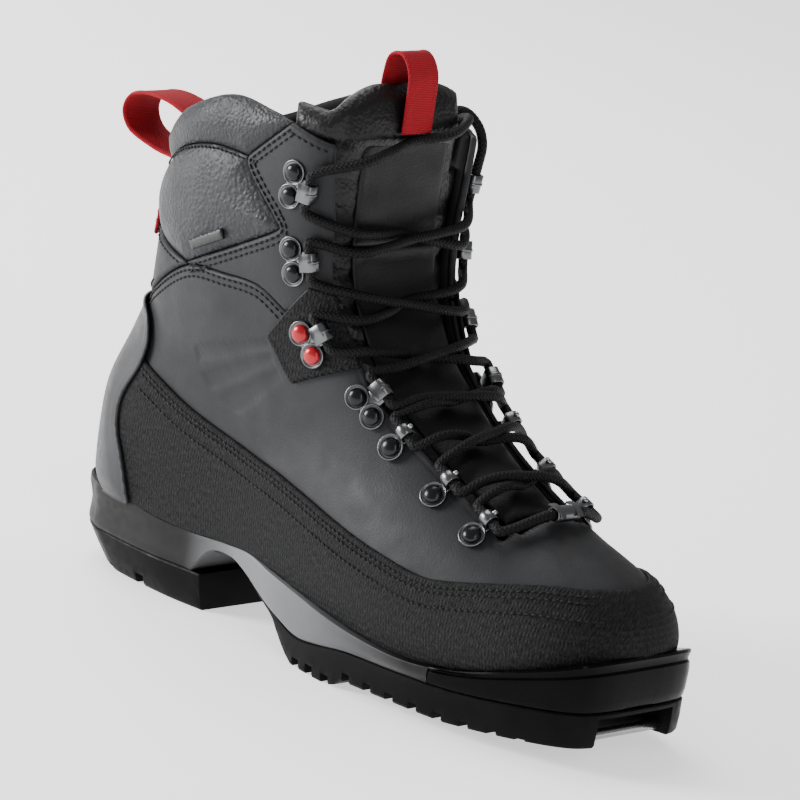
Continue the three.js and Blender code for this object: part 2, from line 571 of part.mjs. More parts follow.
const BAR = { x: 287, z: 12 };
const barPlace = place(BAR.x, 0, BAR.z);
const BAR_LENGTH = BAR_RECESS + 16;
const barRoom = (radius, length) => peg(0, 0, radius, -length / 2, length / 2, 12).rotate([90, 0, 0]).translate(barPlace.toArray());
const recess = box(along(283) + 20, 0, 11, 40, BAR_RECESS, 22);
const groove = box(along(243), 0, 5.75, along(286) - along(200), 26, 12.5);
add('toe_bumper', frameBody.intersect(aheadOfBumper), 'bumper');

const sideWalls = planShape(-2);
const heelWalls = planShape(-2, { along: 0.6, across: 0.25 });
const heelProfile = prism([[-60, HEEL_TOP - GAP], [-60, 0], [72, 0], [72, 8], [67, HEEL_TOP - GAP]]);
const heelSlot = box(along(33), 0, 0, 6, 200, 9);
const heelHollow = box(along(50), 0, 0, 14, 26, 8);
add('outsole_heel', heelProfile.intersect(heelWalls).subtract(heelSlot).subtract(heelHollow), 'rubber');

const foreProfile = prism([...TREAD, ...FRAME_FOOT.filter(([x]) => x > 104).map(([x, z]) => [x, z - GAP]).reverse()]);
const slots = joined([186, 204, 222, 240, 258].map((x) => box(along(x), 0, 4, 4.5, 200, 10)));
const tread = foreProfile.intersect(sideWalls).subtract(slots).subtract(recess).subtract(groove);
add('outsole_forefoot', tread.subtract(barRoom(BAR_RADIUS + GAP, BAR_LENGTH + 2 * GAP)), 'rubber');
add('toe_bar', barRoom(BAR_RADIUS, BAR_LENGTH), 'steel');

// Hooks, eyelets and their rivets.
for (const [name, s] of Object.entries(SIDES)) {
  HOOKS.forEach((hook, i) => {
    const frame = frameAt(hook, s);
    add(`hook_${name}_${i + 1}`, turned(hookSolid(), frame), 'gunmetal');
    add(`hook_rivets_${name}_${i + 1}`, turned(hookRivetsSolid(hook.lift ?? 0), frame), i === 2 ? 'redRivet' : 'gunmetal');
  });
  EYELETS.forEach((eyelet, i) => {
    const frame = frameAt(eyelet, s);
    add(`eyelet_${name}_${i + 1}`, turned(eyeletSolid(), frame), 'gunmetal');
    add(`eyelet_rivet_${name}_${i + 1}`, turned(eyeletRivetSolid(eyelet.lift), frame), 'gunmetal');
  });
}

// Lace: one cord through every eyelet and hook, crossing over the tongue, its ends tucked inside.
// A built place taken back to the stations and heights of the tables above.
const drawn = (p) => {
  const stretch = (CUFF_HEIGHT - DRAWN.ankle) / (DRAWN.cuff - DRAWN.ankle);
  const z = p.z <= DRAWN.ankle ? p.z : DRAWN.ankle + (p.z - DRAWN.ankle) / stretch;
  const x = HEEL_SEAT + (p.x * DRAWN.length) / FOOT_LENGTH;
  return { x, y: (p.y * DRAWN.ballWidth) / BALL_WIDTH, z };
};
// A place a given rise off the front of the last, at a height and a distance from its middle.
function overTongue(z, y, lift) {
  let [low, high] = [(BACK_LINE(z) + FRONT_LINE(z)) / 2, FRONT_LINE(z)];
  for (let i = 0; i < 30; i++) {
    const middle = (low + high) / 2;
    if (halfWidth(middle, z, y < 0 ? -1 : 1) > Math.abs(y)) low = middle;
    else high = middle;
  }
  const normal = new THREE.Vector3(4, 0, FRONT_LINE(z - 2) - FRONT_LINE(z + 2)).normalize();
  return place(low, y, z).addScaledVector(normal, lift);
}
const seatPoints = (index, s) => {
  const isHook = index < HOOKS.length;
  const seat = isHook ? LACE_SEAT : EYELET_SEAT;
  const frame = frameAt(EVERY_FIXING[index], s);
  return [-8, -4.4, 4.4, 8].map((y) => new THREE.Vector3(seat.x, -s * y, seat.z).applyMatrix4(frame));
};
const LOW = FACE_OUT + LACE / 2 + 1.7;
const HIGH = LOW + LACE + 0.6;
const EDGE = 5.4;
// The run from one side's fixing up to the next one on the other side, pushed straight out of the foot.
function crossing(index, s, lift) {
  const shoulder = lift > LOW ? 4.6 : 2.6;
  const from = seatPoints(index, s)[3];
  const to = seatPoints(index - 1, -s)[0];
  const outwardAt = (i, side) => new THREE.Vector3().setFromMatrixColumn(frameAt(EVERY_FIXING[i], side), 2);
  const outward = outwardAt(index, s).add(outwardAt(index - 1, -s)).setY(0).normalize();
  return [0.16, 0.32, 0.5, 0.68, 0.84].map((t, i) => {
    const start = from.clone().lerp(to, t);
    let [low, high] = [-25, 60];
    for (let k = 0; k < 30; k++) {
      const p = drawn(start.clone().addScaledVector(outward, (low + high) / 2));
      if (halfWidth(p.x, p.z, p.y < 0 ? -1 : 1) > Math.abs(p.y)) low = (low + high) / 2;
      else high = (low + high) / 2;
    }
    return start.addScaledVector(outward, low + [EDGE, shoulder, lift, shoulder, EDGE][i]);
  });
}
function strand(s) {
  const points = [];
  let side = s;
  for (let index = EVERY_FIXING.length - 1; index >= 0; index--) {
    points.push(...seatPoints(index, side));
    if (index > 0) points.push(...crossing(index, side, (side > 0) === (index % 2 > 0) ? LOW : HIGH));
    side = -side;
  }
  const tucked = s < 0
    ? [overTongue(214, -36, 5.8), overTongue(218, -18, 3), overTongue(221, 0, LOW), overTongue(224, 18, 3.4),
      place(122, 37, 228), place(112, 38, 224), place(105.5, 35, 215), place(104, 34.5, 209)]
    : [place(119.5, 51.5, 215), place(116, 51.5, 222), place(111, 46.5, 228), place(105, 40.5, 226),
      place(100.5, 37, 218), place(98, 36, 209)];
  return [...points, ...tucked];
}
const clipPlace = overTongue(86.5, 0, 4.8);
const lowBar = [-11, -4, 4, 11].map((y) => clipPlace.clone().setY(y));
const lacePoints = [...strand(-1).reverse(), ...lowBar, ...strand(1)];
const lacePath = new THREE.CatmullRomCurve3(lacePoints, false, 'centripetal');
const ROUND = Array.from({ length: 8 }, (_, i) => {
  const turn = (2 * Math.PI * i) / 8;
  return new THREE.Vector2((LACE / 2) * Math.cos(turn), (LACE / 2) * Math.sin(turn));
});
const laceShape = new THREE.Shape(ROUND);
const laceTube = new THREE.ExtrudeGeometry(laceShape, { steps: 160, extrudePath: lacePath, bevelEnabled: false });
add('lace', solidOf(laceTube), 'lace');

// Clip for a gaiter, free to slide a little along the lowest run of the lace.
const CLIP = { length: 14, width: 9, height: 6.8 };
const clipBlock = box(0, 0, 0, CLIP.width, CLIP.length, CLIP.height).subtract(
  peg(0, 0, LACE / 2 + GAP, -20, 20, 12).rotate([90, 0, 0]),
);
const clipEnds = joined([-1, 1].map((s) => box(CLIP.width / 2, s * (CLIP.length / 2), 0, 3.6, 7, 20)));
add('gaiter_clip', clipBlock.subtract(clipEnds).rotate([0, 26, 0]).translate(clipPlace.toArray()), 'gunmetal');

export default boot;
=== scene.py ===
import math

import bpy
import numpy as np
from mathutils import Matrix, Vector, noise


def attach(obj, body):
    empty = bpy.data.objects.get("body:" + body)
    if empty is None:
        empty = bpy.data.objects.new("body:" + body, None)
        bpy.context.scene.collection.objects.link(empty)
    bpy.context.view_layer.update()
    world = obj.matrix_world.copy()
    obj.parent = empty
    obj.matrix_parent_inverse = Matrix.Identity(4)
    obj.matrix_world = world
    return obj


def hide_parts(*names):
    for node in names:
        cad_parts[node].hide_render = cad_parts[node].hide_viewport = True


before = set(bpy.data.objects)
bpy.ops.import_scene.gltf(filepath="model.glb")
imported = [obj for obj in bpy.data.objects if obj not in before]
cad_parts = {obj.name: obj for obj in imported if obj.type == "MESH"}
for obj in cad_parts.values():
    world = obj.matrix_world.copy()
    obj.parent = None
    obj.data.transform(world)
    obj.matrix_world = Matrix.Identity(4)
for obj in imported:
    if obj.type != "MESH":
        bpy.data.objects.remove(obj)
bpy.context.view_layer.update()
MM = 0.001
HEEL_SEAT = 20.0


# ---------- curves ----------
def hermite(t, a, b, leave, arrive):
    """The cubic from a to b with the given slopes at its two ends."""
    return (
        (2 * t**3 - 3 * t**2 + 1) * a
        + (t**3 - 2 * t**2 + t) * leave
        + (3 * t**2 - 2 * t**3) * b
        + (t**3 - t**2) * arrive
    )


def smooth(*points):
    """A smooth function through (input, value) points, flat beyond its ends."""
    xs = np.array([p[0] for p in points], float)
    ys = np.array([p[1] for p in points], float)
    before = np.r_[0, np.arange(len(xs) - 1)]
    after = np.r_[np.arange(1, len(xs)), len(xs) - 1]
    slope = (ys[after] - ys[before]) / (xs[after] - xs[before])

    def value(x):
        x = np.clip(np.asarray(x, float), xs[0], xs[-1])
        i = np.clip(np.searchsorted(xs, x, side="right") - 1, 0, len(xs) - 2)
        width = xs[i + 1] - xs[i]
        return hermite((x - xs[i]) / width, ys[i], ys[i + 1], width * slope[i], width * slope[i + 1])

    return value


def spline(points, per=8):
    """Points along a Catmull-Rom curve through the given points."""
    p = np.array(points, float)
    out = []
    for i in range(len(p) - 1):
        p0, p1, p2, p3 = p[max(i - 1, 0)], p[i], p[i + 1], p[min(i + 2, len(p) - 1)]
        out += [hermite(t, p1, p2, (p2 - p0) / 2, (p3 - p1) / 2) for t in np.arange(per) / per]
    return np.array(out + [p[-1]])


def units(v):
    """Each row of an array brought to length 1."""
    return v / (np.linalg.norm(v, axis=-1, keepdims=True) + 1e-9)


def arc_length(path):
    """The distance along a path at each of its points."""
    return np.r_[0, np.cumsum(np.linalg.norm(np.diff(path, axis=0), axis=1))]


def step(x, low, high):
    t = np.clip((np.asarray(x, float) - low) / (high - low), 0, 1)
    return t * t * (3 - 2 * t)


# ---------- the last: the same form as the CAD part ----------
BACK = smooth((20, -11), (40, -13.5), (65, -14), (85, -12), (108, -5), (122, 0), (140, 3), (160, 5.5),
              (185, 7), (210, 8), (250, 9))
FRONT = smooth((48, 294), (62, 289), (70.5, 280), (76, 268), (80, 256), (84.5, 243), (92, 226), (105, 199),
               (118.5, 175), (130, 157), (145, 143), (160, 134), (181, 129.5), (200, 128.5), (229, 128),
               (250, 122))
FEATHER = smooth((-20, 36), (24, 35.4), (60, 34), (90, 36), (105, 36.5), (122, 34), (145, 30.7), (184, 26),
                 (213, 25), (239, 28.5), (263, 35), (280, 40), (296, 46))
PLAN_LATERAL = smooth((-14, 35), (40, 36), (85, 37), (130, 43.5), (165, 49), (195, 51.5), (230, 50),
                      (265, 45), (294, 40))
PLAN_MEDIAL = smooth((-14, 34), (40, 35), (85, 34.5), (125, 37.5), (165, 45), (200, 49), (235, 48.5),
                     (265, 46.5), (294, 43))
SHAFT = smooth((60, 36), (90, 40), (125, 44), (150, 46.5), (180, 48.5), (210, 50), (250, 49))
SQUARE = smooth((75, 2.3), (125, 2.9), (165, 4.4), (210, 5.5), (250, 5.5))
TOE_END = 294
HEEL_ROUND, TOE_ROUND = 38, 47
SHAFT_START = 150
ridge_z = np.linspace(48, 150, 1200)[::-1]
ridge_x = FRONT(ridge_z)


def ridge(x):
    """The height of the foot's top line at a station, carried on upward inside the shaft."""
    x = np.asarray(x, float)
    top = np.interp(SHAFT_START, ridge_x, ridge_z)
    return np.where(x < SHAFT_START, top + (SHAFT_START - x) * 0.9, np.interp(x, ridge_x, ridge_z))


def round_end(t, power):
    t = np.clip(t, 0, 1)
    return (1 - (1 - t) ** power) ** (1 / power)


def half_width(x, z, side):
    """Half the width of the last at a station and height, for the outer (-1) or inner (1) side."""
    back, front = BACK(z), FRONT(z)
    inside = (x > back) & (x < front)
    plan = np.where(np.asarray(side) < 0, PLAN_LATERAL(x), PLAN_MEDIAL(x))
    feather = FEATHER(x)
    rise = np.clip((z - feather) / (ridge(x) - feather), 0, 1)
    tuck = 1 - 0.05 * (1 - np.minimum(rise / 0.25, 1)) ** 2
    ends = round_end((x - back) / HEEL_ROUND, 2) * round_end((TOE_END - x) / TOE_ROUND, 2.3)
    foot = plan * ends * tuck * np.sqrt(1 - rise**2.4)
    t = np.clip((2 * x - back - front) / (front - back), -1, 1)
    square = np.where(t > 0, SQUARE(z), 2.3)
    shaft = SHAFT(z) * (1 - np.abs(t) ** square) ** (1 / square)
    mix = step(z, 75, 125)
    return np.where(inside, foot * (1 - mix) + shaft * mix, 0)


def point_on(x, z, side):
    return np.array([x, side * float(half_width(x, z, side)), z])


def on_leather(x, z, side):
    """Place and outward direction of the leather at a station and height."""
    a = point_on(x + 1, z, side) - point_on(x - 1, z, side)
    u = point_on(x, z + 1, side) - point_on(x, z - 1, side)
    n = np.cross(a, u)
    return point_on(x, z, side), -side * n / np.linalg.norm(n)


# The surface as a grid: rings of points from the front round the inner side, the heel and the outer side.
LEVELS = np.r_[np.arange(24, 62, 1.3), np.arange(62, 92, 0.8), np.arange(92, 251, 1.25)]
AROUND = 400
turn = 2 * np.pi * np.arange(AROUND) / AROUND
Z = np.repeat(LEVELS[:, None], AROUND, 1)
B, F = BACK(Z), FRONT(Z)
X = (B + F) / 2 + (F - B) / 2 * np.cos(turn)
S = np.where(np.sin(turn) < 0, -1.0, 1.0) * np.ones_like(Z)
WIDE = half_width(X, Z, S)
WIDE[:, 0] = 0
WIDE[:, AROUND // 2] = 0
Y = S * WIDE
P = np.stack([X, Y, Z], -1)
wrapped = np.concatenate([P[:, -1:], P, P[:, :1]], 1)
ALONG = (wrapped[:, 2:] - wrapped[:, :-2]) / 2
UP = np.gradient(P, axis=0)
NORMAL = units(np.cross(ALONG, UP))
steps = np.linalg.norm(np.roll(P, -1, 1) - P, axis=-1)
ARC = np.cumsum(steps, 1) - steps
ARC = ARC - ARC[:, AROUND // 2 : AROUND // 2 + 1]
ALONG_ALONG, ALONG_UP, UP_UP = (ALONG**2).sum(-1), (ALONG * UP).sum(-1), (UP**2).sum(-1)


def true_distance(field):
    """Turns a field on the grid into millimetres along the surface near its zero line."""
    f = np.concatenate([field[:, -1:], field, field[:, :1]], 1)
    around = (f[:, 2:] - f[:, :-2]) / 2
    upward = np.gradient(field, axis=0)
    area = np.maximum(ALONG_ALONG * UP_UP - ALONG_UP**2, 1e-9)
    slope = (UP_UP * around**2 - 2 * ALONG_UP * around * upward + ALONG_ALONG * upward**2) / area
    return field / np.clip(np.sqrt(np.maximum(slope, 0)), 0.3, 1.5)


def outline_field(poly, x=X, z=Z):
    """Distance inside a closed side-view outline, negative outside."""
    best = np.full(x.shape, 1e9)
    inside = np.zeros(x.shape, bool)
    q = np.array(poly, float)
    for a, b in zip(q, np.roll(q, -1, 0)):
        d = b - a
        length = d @ d
        if length < 1e-12:
            continue
        t = np.clip(((x - a[0]) * d[0] + (z - a[1]) * d[1]) / length, 0, 1)
        best = np.minimum(best, (x - a[0] - t * d[0]) ** 2 + (z - a[1] - t * d[1]) ** 2)
        if a[1] != b[1]:
            crosses = (a[1] > z) != (b[1] > z)
            inside ^= crosses & (x < a[0] + (z - a[1]) * d[0] / d[1])
    return np.where(inside, 1, -1) * np.sqrt(best)


# ---------- meshes ----------
materials = {}


def make_object(name, verts, faces, material, uvs=None, shade_smooth=True):
    """A mesh in boot millimetres. uvs holds one pair per vertex."""
    v = np.asarray(verts, float).copy()
    v[:, 0] -= HEEL_SEAT
    mesh = bpy.data.meshes.new(name)
    mesh.from_pydata((v * MM).tolist(), [], [list(map(int, f)) for f in faces])
    mesh.validate()
    if uvs is not None:
        layer = mesh.uv_layers.new(name="mm")
        index = np.empty(len(mesh.loops), int)
        mesh.loops.foreach_get("vertex_index", index)
        layer.data.foreach_set("uv", np.asarray(uvs, float)[index].ravel())
    mesh.materials.append(materials[material])
    if shade_smooth:
        mesh.shade_smooth()
    o = bpy.data.objects.new(name, mesh)
    bpy.context.collection.objects.link(o)
    return o


def add_piece(name, verts, faces, material, node=None, slot=None, body="boot", uvs=None):
    """A mesh in a given material that rides on a body and stands for a CAD node. The slot is not used."""
    o = make_object(name, verts, faces, material, uvs)
    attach(o, body)
    if node:
        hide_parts(node)
    return o


def ring_faces(rings, around, closed=True, caps=True):
    """Quads between rings of vertices that follow each other, with a cap on the first and the last."""
    last = around if closed else around - 1
    faces = []
    for k in range(rings - 1):
        for i in range(last):
            a, b = k * around + i, k * around + (i + 1) % around
            faces.append([a, b, b + around, a + around])
    if caps:
        faces += [list(range(last))[::-1], [(rings - 1) * around + i for i in range(last)]]
    return faces


def thicken(faces, n):
    """A sheet's faces, those of its underside, whose n vertices follow the sheet's, and the rim between."""
    edges = dict.fromkeys((a, b) for f in faces for a, b in zip(f, f[1:] + f[:1]))
    rim = [[b, a, a + n, b + n] for a, b in edges if (b, a) not in edges]
    return faces + [[i + n for i in reversed(f)] for f in faces] + rim


def clip_grid(field):
    """Cuts the grid at the zero line of a field. Returns sources for the vertices and the faces."""
    rows, cols = field.shape
    index = {}
    source = []

    def corner(k, i):
        key = (k, i % cols)
        if key not in index:
            index[key] = len(source)
            source.append((key, key, 0.0))
        return index[key]

    def between(a, b):
        a, b = (a[0], a[1] % cols), (b[0], b[1] % cols)
        key = (min(a, b), max(a, b))
        if key not in index:
            fa, fb = field[key[0]], field[key[1]]
            index[key] = len(source)
            source.append((key[0], key[1], fa / (fa - fb)))
        return index[key]

    inside = field >= 0
    nxt = np.roll(inside, -1, 1)
    total = inside[:-1].astype(int) + nxt[:-1] + nxt[1:] + inside[1:]
    faces = []
    for k, i in zip(*np.nonzero(total == 4)):
        faces.append([corner(k, i), corner(k, i + 1), corner(k + 1, i + 1), corner(k + 1, i)])
    for k, i in zip(*np.nonzero((total > 0) & (total < 4))):
        ring = [(k, i), (k, i + 1), (k + 1, i + 1), (k + 1, i)]
        face = []
        for a, b in zip(ring, ring[1:] + ring[:1]):
            ia, ib = inside[a[0], a[1] % cols], inside[b[0], b[1] % cols]
            if ia:
                face.append(corner(*a))
            if ia != ib:
                face.append(between(a, b))
        if len(face) > 2:
            faces.append(face)
    first = np.array([s[0] for s in source])
    second = np.array([s[1] for s in source])
    t = np.array([s[2] for s in source])

    def sample(grid):
        a = grid[first[:, 0], first[:, 1]]
        b = grid[second[:, 0], second[:, 1]]
        w = t[:, None] if a.ndim > 1 else t
        return a * (1 - w) + b * w

    return sample, faces


def panel(name, field, outer, inner, material, node=None, slot=None, body="boot"):
    """A sheet cut from the surface at a field's zero line. outer and inner give heights off the surface
    from the distance to the edge and the places of the vertices."""
    sample, faces = clip_grid(field)
    place, normal, edge = sample(P), units(sample(NORMAL)), np.maximum(sample(field), 0)
    uv = np.stack([sample(ARC), place[:, 2]], 1)
    top = place + normal * np.broadcast_to(outer(edge, place), edge.shape)[:, None]
    low = place + normal * np.broadcast_to(inner(edge, place), edge.shape)[:, None]
    faces = thicken(faces, len(place))
    o = add_piece(name, np.r_[top, low], faces, material, None, slot, body, np.r_[uv, uv])
    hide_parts(*([node] if node else []))
    return o


def seam_line(d, place):
    """A seam pressed in along a panel's edge, broken into stitches."""
    stitch = 0.75 + 0.25 * np.sin(2.1 * (place[:, 0] + place[:, 2]))
    return -0.3 * stitch * np.exp(-(((d - 2.8) / 0.6) ** 2))


def edge_round(d, depth, radius):
    """How far a folded edge drops at a distance from it."""
    t = np.clip(d / radius, 0, 1)
    return -depth * (1 - np.sqrt(1 - (1 - t) ** 2))


def lumps(place, size, seed):
    """Soft unevenness of about one unit over a given distance."""
    return np.array([noise.noise(Vector((a + seed, b - seed, c + 2 * seed))) for a, b, c in place / size])


# ---------- materials ----------
def nodes_of(name):
    m = bpy.data.materials.new(name)
    m.use_nodes = True
    materials[name] = m
    return m.node_tree, m.node_tree.nodes["Principled BSDF"]


def feed(t, socket, value):
    """Sets a socket to a number or colour, or links another node's output to it."""
    if isinstance(value, bpy.types.NodeSocket):
        t.links.new(value, socket)
    else:
        socket.default_value = value


def add_node(t, kind, *first, **values):
    """A node. Plain values fill its first sockets, _names set its options and other names their sockets."""
    n = t.nodes.new(kind)
    for key, value in values.items():
        if key.startswith("_"):
            setattr(n, key[1:], value)
        else:
            feed(t, n.inputs[key.replace("_", " ")], value)
    for socket, value in zip(n.inputs, first):
        feed(t, socket, value)
    return n


def coordinates(t, kind="Object", scale=(1, 1, 1)):
    source = add_node(t, "ShaderNodeTexCoord").outputs[kind]
    return add_node(t, "ShaderNodeMapping", Vector=source, Scale=scale).outputs["Vector"]


def mix_colour(t, factor, low, high):
    m = add_node(t, "ShaderNodeMix", _data_type="RGBA")
    for socket, value in ((0, factor), (6, (*low, 1)), (7, (*high, 1))):
        feed(t, m.inputs[socket], value)
    return m.outputs[2]


def ramp(t, value, low, high, to_low=0.0, to_high=1.0):
    limits = {"From_Min": low, "From_Max": high, "To_Min": to_low, "To_Max": to_high}
    return add_node(t, "ShaderNodeMapRange", Value=value, **limits).outputs["Result"]


def bump(t, shader, height, strength, distance, below=None):
    b = add_node(t, "ShaderNodeBump", Height=height, Strength=strength, Distance=distance)
    if below:
        feed(t, b.inputs["Normal"], below)
    feed(t, shader.inputs["Normal"], b.outputs["Normal"])
    return b.outputs["Normal"]


def noise_node(t, vector, scale, detail=3.0, rough=0.55):
    n = add_node(t, "ShaderNodeTexNoise", Vector=vector, Scale=scale, Detail=detail, Roughness=rough)
    return n.outputs["Fac"]


def wave(t, vector, scale, distortion, direction, **more):
    """Bands across a direction, as threads or ribs."""
    n = add_node(t, "ShaderNodeTexWave", Vector=vector, Scale=scale, Distortion=distortion, **more)
    n.bands_direction = direction
    return n.outputs["Fac"]


def combine(t, operation, a, b):
    return add_node(t, "ShaderNodeMath", a, b, _operation=operation).outputs[0]


def surface(t, shader, colour, rough, spec, metal=0.0):
    looks = {"Base Color": colour, "Roughness": rough, "Specular IOR Level": spec, "Metallic": metal}
    for name, value in looks.items():
        feed(t, shader.inputs[name], value)


def leather_material(name, dark, light, rough, grain, depth, spec):
    """Leather: cloudy colour, fine pores and a pebble of a given size in metres."""
    t, s = nodes_of(name)
    v = coordinates(t)
    cloud = ramp(t, noise_node(t, v, 28, 4), 0.3, 0.7)
    patches = ramp(t, noise_node(t, v, 90), 0.3, 0.7, rough - 0.06, rough + 0.07)
    surface(t, s, mix_colour(t, cloud, dark, light), patches, spec)
    warp = add_node(t, "ShaderNodeTexNoise", Vector=v, Scale=0.5 / grain, Detail=2.0).outputs["Color"]
    shift = add_node(t, "ShaderNodeVectorMath", warp, (grain * 0.9,) * 3, v, _operation="MULTIPLY_ADD")
    cells = add_node(t, "ShaderNodeTexVoronoi", Vector=shift.outputs[0], Scale=1 / grain, _feature="SMOOTH_F1")
    cells.inputs["Smoothness"].default_value = 0.35
    pebble = ramp(t, cells.outputs["Distance"], 0.0, 0.75, 1.0, 0.0)
    fine = bump(t, s, noise_node(t, v, 2600, 2), 0.12, 0.0002)
    bump(t, s, pebble, 0.75, depth, fine)


def woven_material(name):
    """Coarse coated weave: crossing threads with flecks of lighter yarn."""
    t, s = nodes_of(name)
    v = coordinates(t, "UV")
    warp_threads = wave(t, v, 0.2, 1.6, "X", Detail=1.5, Detail_Scale=1.6)
    weft_threads = wave(t, v, 0.13, 2.0, "Y", Detail=1.5, Detail_Scale=1.6)
    flecks = noise_node(t, coordinates(t, "UV", (1.2, 0.4, 1)), 1.1, 5, 0.8)
    tone = mix_colour(t, ramp(t, flecks, 0.42, 0.68), (0.0008, 0.0008, 0.0009), (0.024, 0.0243, 0.0255))
    surface(t, s, tone, 0.7, 0.14)
    fine = bump(t, s, flecks, 0.8, 0.0005)
    bump(t, s, combine(t, "MAXIMUM", warp_threads, weft_threads), 0.7, 0.0004, fine)


def plain_material(name, dark, light, rough, spread=0.06, metal=0.0, grain=1800.0, strength=0.06, spec=0.5):
    """A moulded or metal finish with faint mottling and a fine surface."""
    t, s = nodes_of(name)
    v = coordinates(t)
    colour = mix_colour(t, ramp(t, noise_node(t, v, 60, 4), 0.3, 0.7), dark, light)
    patches = ramp(t, noise_node(t, v, 240), 0.3, 0.7, rough - spread, rough + spread)
    surface(t, s, colour, patches, spec, metal)
    bump(t, s, noise_node(t, v, grain, 2), strength, 0.0002)
    return t, s


def webbing_material(name, dark, light):
    """Ribbed webbing: rows of small twisted yarns across the band."""
    t, s = nodes_of(name)
    v = coordinates(t, "UV")
    yarns = combine(t, "MULTIPLY", wave(t, v, 0.42, 0.3, "X"), wave(t, v, 0.55, 0.4, "DIAGONAL"))
    surface(t, s, mix_colour(t, yarns, dark, light), 0.8, 0.2)
    bump(t, s, yarns, 0.6, 0.0004)


def braid_material(name):
    """Round braid: two sets of yarns winding in opposite ways."""
    t, s = nodes_of(name)
    winding = [wave(t, coordinates(t, "UV", (1, way, 1)), 0.32, 0.0, "DIAGONAL") for way in (1, -1)]
    yarns = combine(t, "MULTIPLY", *winding)
    surface(t, s, mix_colour(t, yarns, (0.0008, 0.0008, 0.0009), (0.0045, 0.0045, 0.0048)), 0.62, 0.2)
    bump(t, s, yarns, 0.8, 0.0005)


def sole_frame_shaded_material(name):
    """Black moulding that turns light grey along the arch, by the place along the boot in metres. The grey is
    partly its own tone and partly painted sheen, and its fade back to black toward the toe is painted shade.
    """
    t, s = plain_material(name, (0.04, 0.041, 0.044), (0.055, 0.056, 0.06), 0.5, 0.08, spec=0.2)
    along = add_node(t, "ShaderNodeSeparateXYZ", coordinates(t)).outputs["X"]
    # Mask along the boot: grey over the arch, partly the moulding's own tone and partly painted sheen,
    # darkening toward the toe as painted shade.
    arch_grey_and_toe_shade = combine(t, "MULTIPLY", ramp(t, along, 0.042, 0.075), ramp(t, along, 0.1, 0.195, 1.0, 0.0))
    feed(t, s.inputs["Base Color"], mix_colour(t, arch_grey_and_toe_shade, (0.002, 0.002, 0.0023), (0.15, 0.152, 0.158)))


leather_material("nubuck", (0.0125, 0.0128, 0.0141), (0.0205, 0.0209, 0.0231), 0.56, 0.0009, 0.00006, 0.22)
leather_material("tongue_leather", (0.0018, 0.0018, 0.002), (0.004, 0.004, 0.0043), 0.42, 0.001, 0.00008, 0.22)
leather_material("pebbled", (0.0135, 0.014, 0.0158), (0.0225, 0.0232, 0.026), 0.48, 0.0019, 0.0004, 0.28)
leather_material("pebbled_dark", (0.0018, 0.0018, 0.002), (0.004, 0.004, 0.0043), 0.4, 0.0018, 0.00025, 0.28)
leather_material("rim_leather", (0.0105, 0.011, 0.0125), (0.018, 0.0185, 0.021), 0.48, 0.0016, 0.00035, 0.28)
woven_material("weave")
sole_frame_shaded_material("sole_frame")
webbing_material("webbing", (0.2, 0.004, 0.009), (0.56, 0.012, 0.026))
braid_material("braid")
plain_material("bumper", (0.001, 0.001, 0.0012), (0.002, 0.002, 0.0023), 0.25, 0.06, spec=0.05)
rubber = (0.0012, 0.0012, 0.0013)
plain_material("sole_rubber", rubber, (0.003, 0.003, 0.0032), 0.45, 0.1, grain=900.0, strength=0.15, spec=0.06)
plain_material("counter", (0.019, 0.0195, 0.0214), (0.025, 0.0257, 0.028), 0.46, spec=0.35)
plain_material("bar_steel", (0.3, 0.3, 0.31), (0.36, 0.36, 0.37), 0.28, 0.03, 1.0, strength=0.02)
plain_material("gunmetal", (0.12, 0.122, 0.127), (0.15, 0.152, 0.158), 0.3, 0.025, 1.0, strength=0.012)
plain_material("dark_rivet", (0.016, 0.0165, 0.018), (0.022, 0.0225, 0.0245), 0.24, 0.02, 0.8, strength=0.012)
plain_material("red_rivet", (0.32, 0.006, 0.012), (0.38, 0.008, 0.016), 0.26, 0.02, 0.35, strength=0.012)
plain_material("thread", (0.0015, 0.0015, 0.0016), (0.004, 0.004, 0.0042), 0.6, spec=0.25)
cloth = {"strength": 0.5, "spec": 0.2}
plain_material("lining", (0.004, 0.004, 0.0045), (0.009, 0.009, 0.01), 0.9, 0.05, grain=1400.0, **cloth)
plain_material("footbed", (0.02, 0.022, 0.025), (0.04, 0.043, 0.047), 0.92, 0.04, grain=1100.0, **cloth)
plain_material("board", (0.12, 0.1, 0.07), (0.17, 0.145, 0.1), 0.85)
plain_material("label", (0.004, 0.004, 0.004), (0.007, 0.007, 0.007), 0.4)
plain_material("pale_thread", (0.4, 0.4, 0.38), (0.55, 0.55, 0.52), 0.7)

# ---------- outlines of the upper, in the side view ----------
RIM = spline([(-20, 200), (8, 200), (37, 216), (65, 228), (87, 227), (102, 224.5), (123, 219.5), (140, 218)])
EYESTAY = spline([(123, 224), (124, 200), (126.5, 175), (131, 157), (141, 137), (155, 121), (169, 111),
                  (196, 97), (222, 85), (233, 79)])
QUARTER_TOP = np.r_[
    spline([(-20, 117), (0, 120), (16, 130), (48, 149), (74, 152), (94, 152), (110, 145)]),
    [(120, 148), (135, 152)],
]
RAND_TOP = spline([(-20, 103.5), (0, 103), (22, 98), (56, 86.5), (93, 79), (119, 75), (160, 66.5), (184, 62.5),
                   (209, 59.5), (223, 61), (247, 66), (267, 69.5), (304, 71)])
COUNTER_FRONT = spline([(27, 34), (19, 55), (13, 67), (13, 80), (21, 97), (23, 111), (14, 121), (-20, 123)])
COLLAR_FRONT = np.r_[
    [(102, 230)], spline([(102, 224.5), (81, 206)], 2), spline([(80, 204), (83, 198), (98, 184)], 4),
    spline([(100.5, 181), (98, 176), (48, 150.5)], 5),
]
COLLAR_SEAM = spline([(-20, 183), (8, 183), (18, 187), (37, 198.5), (59, 205), (80, 205)])
COLLAR_FOOT = spline([(48, 150.5), (20, 156), (6, 164), (-20, 166)])
STRAP = [(102, 132.5), (117.5, 115.5), (146, 129.5), (140, 139), (131, 157), (120, 158)]
